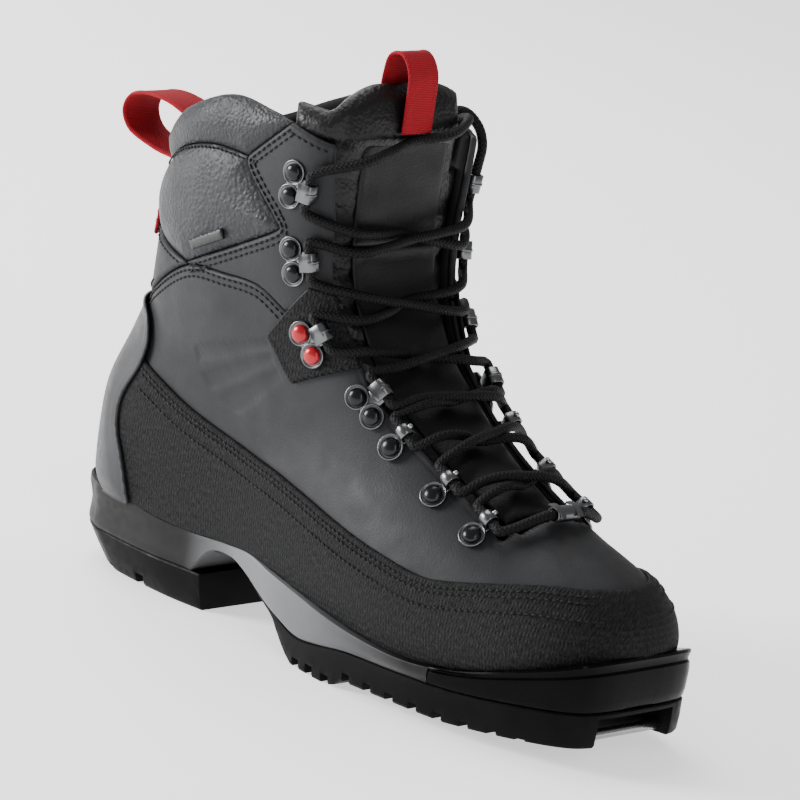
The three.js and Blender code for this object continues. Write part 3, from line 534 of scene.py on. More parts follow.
THROAT = smooth((70, 18), (84, 21), (105, 26), (130, 31), (155, 36), (180, 38), (300, 39))
FLEX = 176.0
LEATHER, LINING, GAP = 2.2, 3.4, 0.3
IN = -LEATHER - GAP
INNER = IN - LINING

below_rim = true_distance(outline_field(np.r_[[(-60, -10)], RIM, [(330, 218), (330, -10)]]))
eyestay_zone = true_distance(outline_field(np.r_[EYESTAY, [(236, 290), (122, 290)]]))
throat_side = true_distance(outline_field(
    [(100, 290), (100, 165), (112, 140), (130, 118), (160, 95), (195, 79), (222, 68), (236, 80), (236, 290)]
))
throat_width = true_distance(THROAT(Z) - np.abs(Y))
throat = np.minimum(throat_side, throat_width)
beside_throat = np.minimum(-eyestay_zone, -throat)
above_feather = true_distance(Z - FEATHER(X))
below_quarter = true_distance(outline_field(
    np.r_[[(-60, -10)], QUARTER_TOP, [(150, 152), (330, 152), (330, -10)]]
))
collar_zone = true_distance(outline_field(np.r_[COLLAR_FOOT, [(-60, 166), (-60, 240)], COLLAR_FRONT]))
band_zone = true_distance(outline_field(
    np.r_[COLLAR_SEAM, [(102, 224.5), (102, 240), (-60, 240), (-60, 183)]]
))
SIDES = {"lateral": -1, "medial": 1}
edge_gap = 0.25


def half_of(side):
    return true_distance(side * Y)


def lowest(*fields):
    return np.minimum.reduce([np.broadcast_to(f, X.shape) for f in fields])


# The body leather, with a shallow pressed fan of three rays on each side.
RAYS = [
    [(55.8, 115), (102.2, 130.7), (103.6, 127.2), (57.6, 109)],
    [(59.6, 103.6), (104.5, 124.6), (106, 121), (65.4, 98.4)],
    [(71, 95.6), (108, 118.8), (111, 115.4), (84, 92.4)],
]


def pressed(place):
    deep = np.zeros(len(place))
    for ray in RAYS:
        inside = outline_field(ray, place[:, 0], place[:, 2])
        deep = np.maximum(deep, step(inside, -0.4, 0.4))
    return -0.55 * deep


def swell(d, height, reach):
    """A pad's rise from its sewn edge, most of it within a reach of the seam."""
    return -0.9 + height * (1 - np.exp(-np.minimum(d, 30) / reach))


def body_outer(d, place):
    sag = 0.3 * lumps(place, 34, 3.1) + 0.1 * lumps(place, 11, 7.7)
    return edge_round(d, 1.0, 1.6) + pressed(place) + sag * step(d, 0, 12) + seam_line(d, place)


body_field = lowest(below_quarter - edge_gap, beside_throat, above_feather + 6)
panel("body_skin", body_field, body_outer, lambda d, p: -LEATHER, "nubuck", "body_leather", "leather")

ankle_field = lowest(
    -below_quarter - edge_gap, -collar_zone - edge_gap, -band_zone - edge_gap, beside_throat, below_rim
)
for side_name, side in SIDES.items():
    half = half_of(side)
    panel(
        "ankle_skin_" + side_name, lowest(ankle_field, half),
        lambda d, p: (
            0.7 + edge_round(d, 1.2, 1.5) + 0.3 * lumps(p, 30, 5.5) * step(d, 0, 10) + seam_line(d, p)
        ),
        lambda d, p: -LEATHER, "nubuck", node="ankle_panel_" + side_name, slot="leather",
    )
    padded = lowest(collar_zone - edge_gap, -band_zone - edge_gap, half + 0.01)
    collar = panel(
        "collar_pad_" + side_name, padded,
        lambda d, p: swell(d, 4.6, 6.5) + 0.5 * lumps(p, 16, 2.2) * step(d, 2, 12),
        lambda d, p: -LEATHER, "pebbled", node="collar_" + side_name, slot="grained_leather",
    )
    strap_field = lowest(true_distance(outline_field(STRAP)), half, beside_throat + 0.2)
    panel(
        "strap_" + side_name, strap_field,
        lambda d, p: 1.75 + edge_round(d, 0.9, 1.1) + 0.35 * (1 - step(d, 0.9, 2.6)),
        lambda d, p: 0.3, "weave", node="strap_panel_" + side_name, slot="woven_fabric",
    )
    binding = lowest(strap_field, 1.5 - strap_field)
    panel(
        "strap_binding_" + side_name, binding, lambda d, p: 1.95 + edge_round(d, 0.5, 0.7), lambda d, p: 0.4,
        "tongue_leather", slot="leather",
    )

top_field = lowest(band_zone - edge_gap, below_rim)
collar_top = panel(
    "collar_top_pad", top_field,
    lambda d, p: swell(d, 3.6, 4.5) + 0.35 * lumps(p, 14, 9.2) * step(d, 2, 10),
    lambda d, p: -LEATHER - 0.2, "rim_leather", node="collar_top", slot="leather",
)

# The rand: woven fabric, thicker in the band that carries its two rows of stitches.
below_rand = true_distance(outline_field(np.r_[[(-60, -10)], RAND_TOP, [(330, 71), (330, -10)]]))
panel(
    "rand_cloth", lowest(below_rand, above_feather + 0.4),
    lambda d, p: 1.9 + edge_round(d, 1.0, 1.3) + 0.2 * lumps(p, 26, 1.7),
    lambda d, p: 0.3, "weave", node="rand", slot="woven_fabric",
)

# The heel counter: thick in its middle, thinning to a rounded lip.
counter_zone = true_distance(outline_field(np.r_[COUNTER_FRONT, [(-60, 123), (-60, 30), (27, 30)]]))
panel(
    "counter_shell", lowest(counter_zone, above_feather + 0.4),
    lambda d, p: 2.3 + (2.9 - 2.4 * step(p[:, 2], 80, 120)) * step(d, -4, 9) + edge_round(d, -0.9, 1.6)
    + 0.5 * np.exp(-((d - 2.2) / 1.1) ** 2),
    lambda d, p: 2.1, "counter", node="heel_counter", slot="counter",
)

# The lining, and the tongue under the lacing.
panel(
    "lining_cloth", lowest(beside_throat - 0.3, below_rim - 0.4, above_feather - 2.3),
    lambda d, p: IN + edge_round(d, 0.4, 1.0),
    lambda d, p: INNER - edge_round(d, 2.2, 3.2) + 0.3 * lumps(p, 22, 6.1),
    "lining", node="lining", slot="lining",
)
TONGUE_OUT = INNER - GAP
TONGUE = 4.6
tongue_back = spline([(97, 246), (99, 222), (106, 195), (107, 176), (110, 158), (121, 138), (136, 118),
                      (160, 100), (190, 86), (215, 76), (224, 70)])
TONGUE_TOP = np.r_[
    [(60, 0)],
    spline([(60, 225), (82, 227.5), (97, 232.5), (107, 239.5), (115, 244), (122, 245.8), (150, 246.3)]),
    [(250, 0)],
]
tongue_zone = true_distance(outline_field(np.r_[tongue_back, [(240, 70), (240, 290), (97, 290)]]))
TONGUE_HEIGHT = 246.3
corner = TONGUE_HEIGHT - 9 * np.clip((np.abs(Y) - 8) / 32, 0, 1.2) ** 2.2
tongue_top = np.minimum(true_distance(outline_field(TONGUE_TOP)), true_distance(corner - Z))
medial_cut = np.where(Z > 205, true_distance(33 - Y), 40)
tongue_field = lowest(tongue_zone, tongue_top, medial_cut)


def creases(place):
    """Folds across the tongue, deepest at the ankle."""
    z = place[:, 2] + 3.5 * lumps(place, 24, 4.4)
    deep = np.exp(-(((place[:, 2] - 158) / 26) ** 2))
    return -(1.1 * deep + 0.25) * (0.5 + 0.5 * np.sin(z / 2.0)) ** 3


def tongue_outer(d, place):
    top = step(place[:, 2], 214, 224)
    puff = 0.6 + 3.0 * top * step(d, 0, 7) + 0.5 * lumps(place, 12, 8.1)
    return TONGUE_OUT + edge_round(d, 2.0, 3.0) + puff + creases(place) * (1 - top)


def tongue_inner(d, place):
    return TONGUE_OUT - TONGUE - edge_round(d, 1.6, 3.0)


halves = (("upper", "top", "tongue", Z - FLEX), ("lower", "low", "boot", FLEX - Z))
for half_name, short_name, body, keep in halves:
    pad = panel(
        f"tongue_{short_name}_pad", lowest(tongue_field, true_distance(keep) + 0.02), tongue_outer,
        tongue_inner, "pebbled_dark", "tongue_" + half_name, "grained_leather", body,
    )
face_side = true_distance(outline_field([(104, 221), (104, 165), (116, 140), (134, 118), (160, 98), (200, 81),
                                         (222, 74), (224, 74), (260, 221)]))
face_width = true_distance(np.minimum(26, THROAT(Z) * 0.88) - np.abs(Y))


def face_outer(d, place):
    z = place[:, 2]
    wave_across = (0.5 + 0.5 * np.sin(z / 2.4 + lumps(place, 20, 1.1) * 3)) ** 2
    ripple = 0.55 * lumps(place * [1, 0.5, 1], 13, 2.9) - 0.5 * np.exp(-(((z - 160) / 30) ** 2)) * wave_across
    channel = -0.7 * np.exp(-((np.abs(place[:, 1] - 4) / 0.7) ** 2)) * step(z, 120, 135)
    return TONGUE_OUT + 1.9 + edge_round(d, 1.1, 1.4) + ripple * step(d, 0, 6) + channel


for half_name, _, body, keep in halves:
    panel(
        "tongue_strip_" + half_name, lowest(face_side, face_width, true_distance(keep) + 0.02, X - 60),
        face_outer, lambda d, p: TONGUE_OUT + 0.2, "tongue_leather", "tongue_face_" + half_name, "leather",
        body,
    )


# ---------- stitches ----------
STITCH = ((-0.02, 0.25, -0.5), (0.12, 0.8, 0.0), (0.5, 1.0, 0.3), (0.88, 0.8, 0.0), (1.02, 0.25, -0.5))


def bead_rows(rows, radius, sides=6):
    """Short threads, each from one point to another with a rounded hump between: rings at a share of the
    length, with a share of the radius and a rise."""
    verts, faces = [], []
    turns = 2 * math.pi * np.arange(sides) / sides
    one = ring_faces(len(STITCH), sides)
    for a, b, n in rows:
        along = units(b - a)
        across = np.cross(n, along)
        faces += [[i + len(verts) for i in f] for f in one]
        for t, r, up in STITCH:
            centre = a + (b - a) * t + n * radius * up
            verts += [centre + (across * math.cos(w) + n * math.sin(w)) * radius * r for w in turns]
    return verts, faces


def seam_rows(line, offsets, side, height, pitch=3.3, length=2.5, keep=None):
    """Stitches on one side of the boot along a side-view line moved sideways by some offsets."""
    p = np.array(line, float)
    ahead = units(np.gradient(p, axis=0))
    sideways = np.stack([-ahead[:, 1], ahead[:, 0]], 1)
    rows = []
    for offset in offsets:
        q = p + sideways * offset
        width = half_width(q[:, 0], q[:, 1], side)
        ok = width > 0.5
        xyz = np.stack([q[:, 0], side * width, q[:, 1]], 1)[ok]
        if len(xyz) < 3:
            continue
        arc = arc_length(xyz)
        for s in np.arange(1.0, arc[-1] - length, pitch):
            ends = [np.array([np.interp(w, arc, xyz[:, c]) for c in range(3)]) for w in (s, s + length)]
            middle = (ends[0] + ends[1]) / 2
            if keep is not None and not keep(middle):
                continue
            _, n = on_leather(middle[0], middle[2], side)
            if np.isnan(n).any():
                continue
            rows.append((ends[0] + n * height, ends[1] + n * height, n))
    return rows


rows = []
for side in (-1, 1):
    rows += seam_rows(QUARTER_TOP[8:], (-2.2, -5.0), side, 0.12, keep=lambda p: p[0] < 112)
    rows += seam_rows(QUARTER_TOP[4:18], (2.4,), side, 0.8, keep=lambda p: p[0] < 30)
    rows += seam_rows(COLLAR_FRONT[1:], (2.4, 5.0), side, 0.85, keep=lambda p: 50 < p[0] < 121)
    rows += seam_rows(COLLAR_SEAM, (-1.4,), side, 0.5, pitch=2.6, length=2.0)
    rows += seam_rows(COLLAR_FOOT, (2.4,), side, 0.85, keep=lambda p: p[0] < 44)
    rows += seam_rows(RAND_TOP, (-3.0, -5.2, -11.0), side, 2.0, 3.0, 2.2, keep=lambda p: p[0] > 22)
    rows += seam_rows(RIM, (-3.4,), side, 0.8, keep=lambda p: 103 < p[0] < 121)
add_piece("seam_threads", *bead_rows(rows, 0.5), "thread", slot="lace")


# ---------- pull loops and tags ----------
def webbing(name, points, width, body, node, thick=1.5):
    """A band of webbing along a side-view path, with its two selvedges thicker."""
    path = spline(points, 10)
    ahead = units(np.gradient(path, axis=0))
    out = np.stack([-ahead[:, 1], ahead[:, 0]], 1)
    across = np.linspace(-width / 2, width / 2, 17)
    lip = 0.22 * np.exp(-(((np.abs(across) - width / 2 + 1.2) / 0.7) ** 2))
    lip[[0, -1]] -= 0.5
    verts, uvs = [], []
    for face in (1, -1):
        for p, o, s in zip(path, out, arc_length(path)):
            for y, h in zip(across, face * (thick / 2 + lip)):
                verts.append((p[0] + o[0] * h, y, p[1] + o[1] * h))
                uvs.append((s, y))
    faces = [f[::-1] for f in ring_faces(len(path), len(across), closed=False, caps=False)]
    add_piece(name, verts, thicken(faces, len(verts) // 2), "webbing", node, "red_webbing", body, uvs)


heel_route = [(6.5, 200.5), (-8, 205), (-22, 206), (-33, 203), (-36.3, 195.5), (-31, 188), (-18, 184),
              (-6, 182.5), (6, 182.8)]
tongue_route = [(127.3, 224), (127.2, 236), (126.5, 249), (121, 256.5), (114, 255), (112, 247), (111.6, 236),
                (111.4, 228)]
webbing("heel_pull", heel_route, 22, "boot", "heel_loop")
webbing("tongue_pull", tongue_route, 18, "tongue", "tongue_loop")


def patch(name, poly, low, high, material, node, slot, keep=0.0):
    """A flat tag on the outer side, between two heights off the leather."""
    field = lowest(true_distance(outline_field(poly)), half_of(-1) - keep)
    panel(name, field, lambda d, p: high + edge_round(d, 0.4, 0.5), lambda d, p: low, material, node, slot)


def ribbon_corners(low_z, high_z):
    return [(-30, low_z), (11.5, low_z), (11.5, high_z), (-30, high_z)]


RIBBON_KEEP = 14
patch("side_ribbon", ribbon_corners(151.5, 167), 2.4, 3.9, "webbing", "side_tag", "red_webbing", RIBBON_KEEP)
for stripe_z in (156.5, 160.5):
    stripe = true_distance(outline_field(ribbon_corners(stripe_z, stripe_z + 1.7)))
    panel(
        "ribbon_stripe", lowest(stripe, half_of(-1) - RIBBON_KEEP), lambda d, p: 4.05, lambda d, p: 3.7,
        "pale_thread", slot="red_webbing",
    )
label = [(56.4, 158.5), (74.6, 168), (72.7, 172), (54.2, 162.3)]
patch("cuff_patch", label, 2.6, 4.3, "label", "cuff_label", "label")


# ---------- sole ----------
def outline_half(side):
    """The sole's plan on one side, a little narrower along the inner side than the outer one."""
    x, y = spline(
        [(-20, 0), (-19.4, 6.5), (-17.5, 13), (-12, 21.5), (-3, 28), (8, 32), (40, 35.5), (70, 34.5),
         (95, 35), (125, 42), (160, 50.5), (195, 53.5), (225, 53), (255, 48.5), (277, 41.5), (288, 35.5),
         (293, 29.5), (295.2, 21), (296, 10), (296, 0)]
    ).T
    if side > 0:
        y = y * (1 - np.interp(x, [85, 95, 225, 250], [0.02, 0.04, 0.04, -0.02]))
    return x, side * y


OUT_X, OUT_LATERAL = outline_half(-1)
OUT_MEDIAL = outline_half(1)[1]
FRAME_FOOT_LINE = spline([(68, 17), (78, 29), (90, 30.5), (100, 27.5), (112, 22.5), (128, 16.5), (144, 12.8),
                          (160, 14.5), (180, 17.5), (208, 18.5), (240, 19.5), (268, 22), (300, 25)])


HEEL_TOP = 17.0
PLAN_BACK, PLAN_FRONT = -20, 296


def frame_foot(x):
    return np.where(x < 68, HEEL_TOP, np.interp(x, FRAME_FOOT_LINE[:, 0], FRAME_FOOT_LINE[:, 1]))


def tread_foot(x):
    return np.interp(x, [104, 112, 124, 131, 141, 172, 177, 205, 236, 266, 300],
                     [24, 20.2, 15.2, 8, 0, 0, 4.5, 5.2, 5.1, 7.3, 9.8])


def plan_ring(first, last):
    """The plan of the sole between two stations: places round it and their outward directions."""
    xs = np.unique(np.r_[first, OUT_X[(OUT_X > first) & (OUT_X < last)], last])
    y_lateral = np.interp(xs, OUT_X, OUT_LATERAL)
    y_medial = np.interp(xs, OUT_X, OUT_MEDIAL)
    x, y = np.r_[xs, xs[::-1]], np.r_[y_lateral, y_medial[::-1]]
    ahead = units(np.stack([np.roll(x, -1) - np.roll(x, 1), np.roll(y, -1) - np.roll(y, 1)], 1))
    return x, y, np.stack([ahead[:, 1], -ahead[:, 0]], 1)


def at(value, x):
    """A value that may be a function of the station, at some stations."""
    return value(x) if callable(value) else value + 0 * x


def sole_block(name, low, high, profile, first, last, material, node, lean=(0, 0)):
    """A block with the plan of the sole between two stations. profile lists (share of the height, outward
    offset) up its side, and lean draws the plan forward and inward for each millimetre down."""
    x, y, out = plan_ring(first, last)
    back = first if first > PLAN_BACK else -np.inf
    front = last if last < PLAN_FRONT else np.inf
    rings = [(0, 0, 0), (0, 0, 0.55)] + [(share, offset, 1) for share, offset in profile]
    rings += [(1, 0, 0.55), (1, 0, 0)]
    verts = []
    for share, offset, spread in rings:
        share, offset = at(share, x), at(offset, x)
        drop = HEEL_TOP * (1 - share)
        px = np.clip(x + out[:, 0] * offset + lean[0] * drop, back, front)
        py = (y + out[:, 1] * offset - np.sign(y) * lean[1] * drop) * spread
        verts += list(zip(px, py, low(px) * (1 - share) + high(px) * share))
    return add_piece(name, verts, ring_faces(len(rings), len(x), caps=False), material, node, material)


def bake(o):
    """Applies a piece's modifier to its mesh."""
    bpy.context.view_layer.update()
    mesh = bpy.data.meshes.new_from_object(o.evaluated_get(bpy.context.evaluated_depsgraph_get()))
    o.modifiers.clear()
    o.data = mesh


def cut(o, boxes):
    """Cuts boxes, given as (centre, size) in boot millimetres, out of a piece."""
    for centre, size in boxes:
        c, h = np.array(centre, float), np.array(size, float) / 2
        corners = [c + h * [i, j, k] for i in (-1, 1) for j in (-1, 1) for k in (-1, 1)]
        quads = [[0, 1, 3, 2], [4, 6, 7, 5], [0, 4, 5, 1], [2, 3, 7, 6], [0, 2, 6, 4], [1, 5, 7, 3]]
        knife = make_object("knife", corners, quads, "sole_rubber", shade_smooth=False)
        mod = o.modifiers.new("cut", "BOOLEAN")
        mod.object, mod.operation, mod.solver = knife, "DIFFERENCE", "EXACT"
        bake(o)
        bpy.data.objects.remove(knife)


def soften(o, width):
    """Rounds a piece's hard edges."""
    mod = o.modifiers.new("soften", "BEVEL")
    mod.width, mod.segments, mod.limit_method = width * MM, 2, "ANGLE"
    mod.angle_limit = math.radians(35)
    bake(o)
    o.data.set_sharp_from_angle(angle=math.radians(32))


def arch(x):
    """How far a station is into the arch, from 0 to 1."""
    return step(x, 58, 84) * (1 - step(x, 118, 150))


def cup(x):
    """How far a station is into the heel cup, from 0 to 1."""
    return 1 - step(x, 5, 50)


def frame_top(x):
    return FEATHER(x) - 0.2


side_of_frame = [
    (0.0, lambda x: -0.9 + 0.9 * arch(x)),
    (0.05, lambda x: -0.2 + 1.5 * arch(x)),
    (0.14, lambda x: 2.0 * arch(x)),
    (0.3, lambda x: -0.3 + 2.4 * arch(x)),
    (0.55, lambda x: -0.6 + 0.2 * cup(x) + 3 * arch(x)),
    (0.8, lambda x: -0.4 + 1.1 * cup(x) + 2.9 * arch(x)),
    (0.93, lambda x: 0.2 + 1.2 * cup(x) + 2.2 * arch(x)),
    (lambda x: 0.98 + 0.12 * cup(x), lambda x: 0.1 + 1.4 * cup(x) + 2.0 * arch(x)),
    (lambda x: 1.0 + 0.16 * cup(x), lambda x: -0.8 + 1.4 * cup(x) + 1.6 * arch(x)),
    (lambda x: 1.0 + 0.12 * cup(x), lambda x: -1.2 + 0.6 * cup(x)),
    (1.0, -1.6),
]
FRAME_END = 226
shell = sole_block(
    "frame_shell", frame_foot, frame_top, side_of_frame, PLAN_BACK, FRAME_END - 0.1, "sole_frame", "sole_frame"
)
soften(shell, 0.5)
side_of_bumper = [(0.0, -0.9), (0.04, -0.3), (0.2, 0.3), (0.55, 0.6), (0.72, 0.3), (0.78, -0.6), (0.84, -0.5),
                  (0.93, 0.3), (0.98, 0.0), (1.0, -1.2)]
bumper = sole_block(
    "bumper_shell", frame_foot, lambda x: FEATHER(x) + step(x, 250, 285), side_of_bumper, FRAME_END + 0.1,
    PLAN_FRONT, "bumper", "toe_bumper",
)
soften(bumper, 0.5)
side_of_tread = [(0.0, -1.4), (0.08, -0.6), (0.5, -0.2), (0.95, -0.2), (1.0, -0.8)]
fore = sole_block(
    "tread_front", tread_foot, lambda x: frame_foot(x) - 0.3, side_of_tread, 104.5, PLAN_FRONT - 0.1,
    "sole_rubber", "outsole_forefoot",
)
TOE_RECESS = ((293, 0, 9), (20, 46, 26))
GUIDE_GROOVE = ((243, 0, 5.75), (86, 26, 12.5))
cuts = [TOE_RECESS, GUIDE_GROOVE, ((157, 0, 0), (5, 120, 9)), ((157, 0, 0), (40, 20, 7))]
cuts += [((x, 0, 3.5), (4.6, 130, 10)) for x in (181, 194, 207, 220, 233, 246, 259, 271)]
cuts += [((x, s * 44, 0), (5, 24, 8)) for x in (147, 168) for s in (-1, 1)]
cut(fore, cuts)
soften(fore, 0.45)
heel = sole_block(
    "tread_heel", lambda x: 0 * x, lambda x: HEEL_TOP - 0.2 + 0 * x, side_of_tread, PLAN_BACK + 0.1, 73.5,
    "sole_rubber", "outsole_heel", lean=(0.6, 0.25),
)
HEEL_FRONT = ((80, 0, 4), (16, 120, 30))
cut(heel, [((33, 0, 0), (5.5, 120, 9.5)), ((14, 0, 0), (60, 16, 7)), ((52, 0, 0), (14, 26, 8)),
           ((10, 0, 0), (4, 120, 5)), HEEL_FRONT])
soften(heel, 0.8)


def turned(profile, centre, axis, sides=28):
    """A turned piece from (radius, height) pairs along an axis."""
    a = np.array(axis, float)
    u = units(np.cross(a, [0.3, 0.5, 0.8]))
    w = np.cross(a, u)
    verts = [np.array(centre) + a * h + (u * math.cos(q) + w * math.sin(q)) * max(r, 0.01)
             for r, h in profile for q in 2 * np.pi * np.arange(sides) / sides]
    return verts, ring_faces(len(profile), sides)


bar_profile = [(0, -31), (1.9, -31), (2.2, -30.6), (2.2, 30.6), (1.9, 31), (0, 31)]
verts, faces = turned(bar_profile, (287, 0, 12), (0, 1, 0), 32)
add_piece("binding_bar", verts, faces, "bar_steel", "toe_bar", "bar_steel")


# ---------- inside ----------
def floor_sheet(name, low, high, inset, finish, node, body="boot"):
    """A flat layer inside the foot, following the feather line, with its top dished."""
    stations, across = np.linspace(-14, 291, 120), np.linspace(-1, 1, 13)
    dish = 0.4 * (0.8 - 1.6 * (1 - across**2))
    verts = []
    for height, sag in ((high, dish), (low, 0 * dish)):
        for x in stations:
            z = float(FEATHER(x))
            outer, inner = (max(float(half_width(x, z + low + 1, side)) - inset, 0.3) for side in (-1, 1))
            px = np.clip(x, -14 + inset, 293 - inset)
            verts += [(px, t * (outer if t < 0 else inner), z + height + h) for t, h in zip(across, sag)]
    faces = [f[::-1] for f in ring_faces(len(stations), len(across), closed=False, caps=False)]
    add_piece(name, verts, thicken(faces, len(verts) // 2), finish, node, finish, body)


floor_sheet("board_sheet", 0.2, 2.0, 3.0, "board", "insole_board")
floor_sheet("footbed_felt", 2.4, 6.1, 7.6, "footbed", "footbed", "insole")

# ---------- hooks, eyelets and rivets ----------
# Each fixing is a station, a height, the lean of the eyestay there and the lift off the leather.
STRAP_THICK = 1.3
HOOKS = [(108.4, 199.5, -0.1, 0), (112, 167.5, 0.25, 0), (124.3, 135.2, 0.75, STRAP_THICK + 2 * GAP),
         (154.5, 115.8, 1.0, 0.4)]
EYELETS = [(170.8, 102, 1.0, 0.8), (197.5, 89, 1.05, 0.4), (222, 79, 1.1, 0.4)]


def frame_at(fixing, side):
    """A fixing's place and its axes: toward the gap, up the eyestay and out of the leather."""
    x, z, lean, lift = fixing
    point, n = on_leather(x, z, side)
    eyestay = np.array([-math.sin(lean), 0, math.cos(lean)])
    eyestay = units(eyestay - n * (eyestay @ n))
    return point + n * lift, np.stack([units(np.cross(eyestay, n) * -side), eyestay * -side, n])


def placed(verts, fixing, side):
    """Places in a fixing's own axes to boot millimetres."""
    origin, axes = frame_at(fixing, side)
    v = np.array(verts, float)
    v[:, 1] *= -side
    return origin + v @ axes


def strip(path, width, thick):
    """A bent metal strip: a (toward the gap, out) path, extruded across, with its four edges broken."""
    p = np.array(path, float)
    ahead = units(np.gradient(p, axis=0))
    n = np.stack([-ahead[:, 1], ahead[:, 0]], 1)
    w, t, edge = width / 2, thick / 2, 0.25
    half_ring = [(-w + edge, t), (-w, t - edge), (-w, -t + edge), (-w + edge, -t)]
    ring = half_ring + [(-y, -h) for y, h in half_ring]
    verts = [(a[0] + b[0] * h, y, a[1] + b[1] * h) for a, b in zip(p, n) for y, h in ring]
    return verts, ring_faces(len(p), len(ring))


def merge(parts):
    verts, faces = [], []
    for v, f in parts:
        faces += [[i + len(verts) for i in g] for g in f]
        verts += [tuple(q) for q in v]
    return verts, faces


def rimmed_disc(x, y, r):
    """A round plate with a raised, rounded rim."""
    rim = [(0, 0.1), (0.12, 0.35), (0.4, 0.48), (0.72, 0.35), (0.9, 0.05), (1.1, 0), (r, 0)]
    profile = [(0, GAP), (r - 0.2, GAP), (r, GAP + 0.2)] + [(r - q, PLATE + h) for q, h in rim]
    return turned(profile, (x, y, 0), (0, 0, 1), 48)


def rivet(x, y, r):
    """A domed head on a plate."""
    foot = PLATE + 0.2
    dome = [(r * math.cos(a), foot + 0.2 + 2.0 * math.sin(a)) for a in np.linspace(0, math.pi / 2, 9)[:-1]]
    return turned([(0, foot - 0.5), (r, foot - 0.5)] + dome + [(0, foot + 2.2)], (x, y, 0), (0, 0, 1), 32)


def fitting(name, parts, fixing, side, material, node=None, slot="gunmetal"):
    """A piece made of parts in a fixing's own axes, put in its place on the leather."""
    verts, faces = merge(parts)
    if side > 0:
        faces = [f[::-1] for f in faces]
    o = add_piece(name, placed(verts, fixing, side), faces, material, node, slot)
    if "metal" in name:
        o.data.set_sharp_from_angle(angle=math.radians(50))


def arc_points(cx, cz, r, start, end, n=8):
    return [(cx + r * math.cos(a), cz + r * math.sin(a)) for a in np.linspace(start, end, n)]


LACE = 4.2
METAL = 0.9
PLATE = GAP + METAL
ROOM = LACE + 2 * GAP
END, EYELET_END = 13.0, 12.2
PITCH = 10.6
MIDDLE = GAP + METAL / 2
top_z = PLATE + ROOM + METAL / 2
hook_path = [(0, MIDDLE), (4, MIDDLE), (END - 2.6, MIDDLE)]
hook_path += arc_points(END - 2.45, GAP + 2.45, 2.0, -math.pi / 2, 0)
hook_path += arc_points(END - 2.45, top_z - 2.0, 2.0, 0, math.pi / 2)
hook_path += [(END - 4.5, top_z + 0.02), (END - 6.2, top_z + 0.05), (END - 6.9, top_z + 0.35)]
hook_parts = [strip(hook_path, 8, METAL)]
hook_parts += [rimmed_disc(-1, s * PITCH / 2, 5.45) for s in (-1, 1)]
hook_parts += [strip([(-3.6, MIDDLE), (1.6, MIDDLE)], 8, METAL), strip(hook_path[4:-3], 1.4, METAL + 0.7)]
rivet_pair = [rivet(-1, s * PITCH / 2, 3.8) for s in (-1, 1)]

loop_start, loop_z = EYELET_END - ROOM - 2 * METAL, PLATE + ROOM / 2
loop = [(loop_start + METAL / 2, GAP + 0.2), (loop_start + METAL / 2, loop_z - 0.4)]
loop += arc_points((loop_start + EYELET_END) / 2, loop_z, ROOM / 2 + METAL / 2, math.pi, 0, 14)
loop += [(EYELET_END - METAL / 2, GAP + 0.4)]
tail = strip([(2, MIDDLE), (6, MIDDLE), (11.9, MIDDLE)], 5.5, METAL)
eyelet_parts = [rimmed_disc(0, 0, 5.85), tail, strip(loop, 5.2, METAL)]
ball_profile = arc_points(0, 0, 1.25, -math.pi / 2, math.pi / 2, 9)
ball = turned(ball_profile, (EYELET_END + 0.2, 0, loop_z + 1.0), (0, 0, 1), 20)
RED_HOOK = 3
for side_name, side in SIDES.items():
    for i, fixing in enumerate(HOOKS, 1):
        one = f"{side_name}_{i}"
        colours = ("red_rivet", "red_rivets") if i == RED_HOOK else ("dark_rivet", "gunmetal")
        fitting("hook_metal_" + one, hook_parts, fixing, side, "gunmetal", "hook_" + one)
        fitting("rivets_" + one, rivet_pair, fixing, side, colours[0], "hook_rivets_" + one, colours[1])
    for i, fixing in enumerate(EYELETS, 1):
        one = f"{side_name}_{i}"
        fitting("eyelet_metal_" + one, eyelet_parts, fixing, side, "gunmetal", "eyelet_" + one)
        fitting("eyelet_ball_" + one, [ball], fixing, side, "bar_steel")
        head = [rivet(0, 0, 4.0)]
        fitting("eyelet_rivet_head_" + one, head, fixing, side, "dark_rivet", "eyelet_rivet_" + one)

# ---------- lace ----------
FACE_OUT = TONGUE_OUT + 1.4
LOW = FACE_OUT + LACE / 2 + 1.7
HIGH = LOW + LACE + 0.6
EDGE = 5.4
LACE_SEAT = (END - METAL - ROOM / 2, PLATE + ROOM / 2)
EYELET_SEAT = (EYELET_END - METAL - ROOM / 2, PLATE + ROOM / 2)
FIXINGS = HOOKS + EYELETS


def leaves_last(start, direction, low, high):
    """How far along a direction a line comes out of the last."""
    for _ in range(30):
        middle = (low + high) / 2
        x, y, z = start + direction * middle
        if float(half_width(x, z, -1 if y < 0 else 1)) > abs(y):
            low = middle
        else:
            high = middle
    return low


def over_tongue(z, y, lift):
    """A place a given rise off the front of the last, at a height and a distance from its middle."""
    back, front = float(BACK(z)), float(FRONT(z))
    x = leaves_last(np.array([0, y, z]), np.array([1.0, 0, 0]), (back + front) / 2, front)
    outward = units(np.array([4.0, 0, float(FRONT(z - 2) - FRONT(z + 2))]))
    return np.array([x, y, z]) + outward * lift


def seat_points(index, side):
    """Where the lace lies in a fixing, from its lower to its upper side."""
    seat = LACE_SEAT if index < len(HOOKS) else EYELET_SEAT
    return list(placed([(seat[0], y, seat[1]) for y in (-8, -4.4, 4.4, 8)], FIXINGS[index], side))


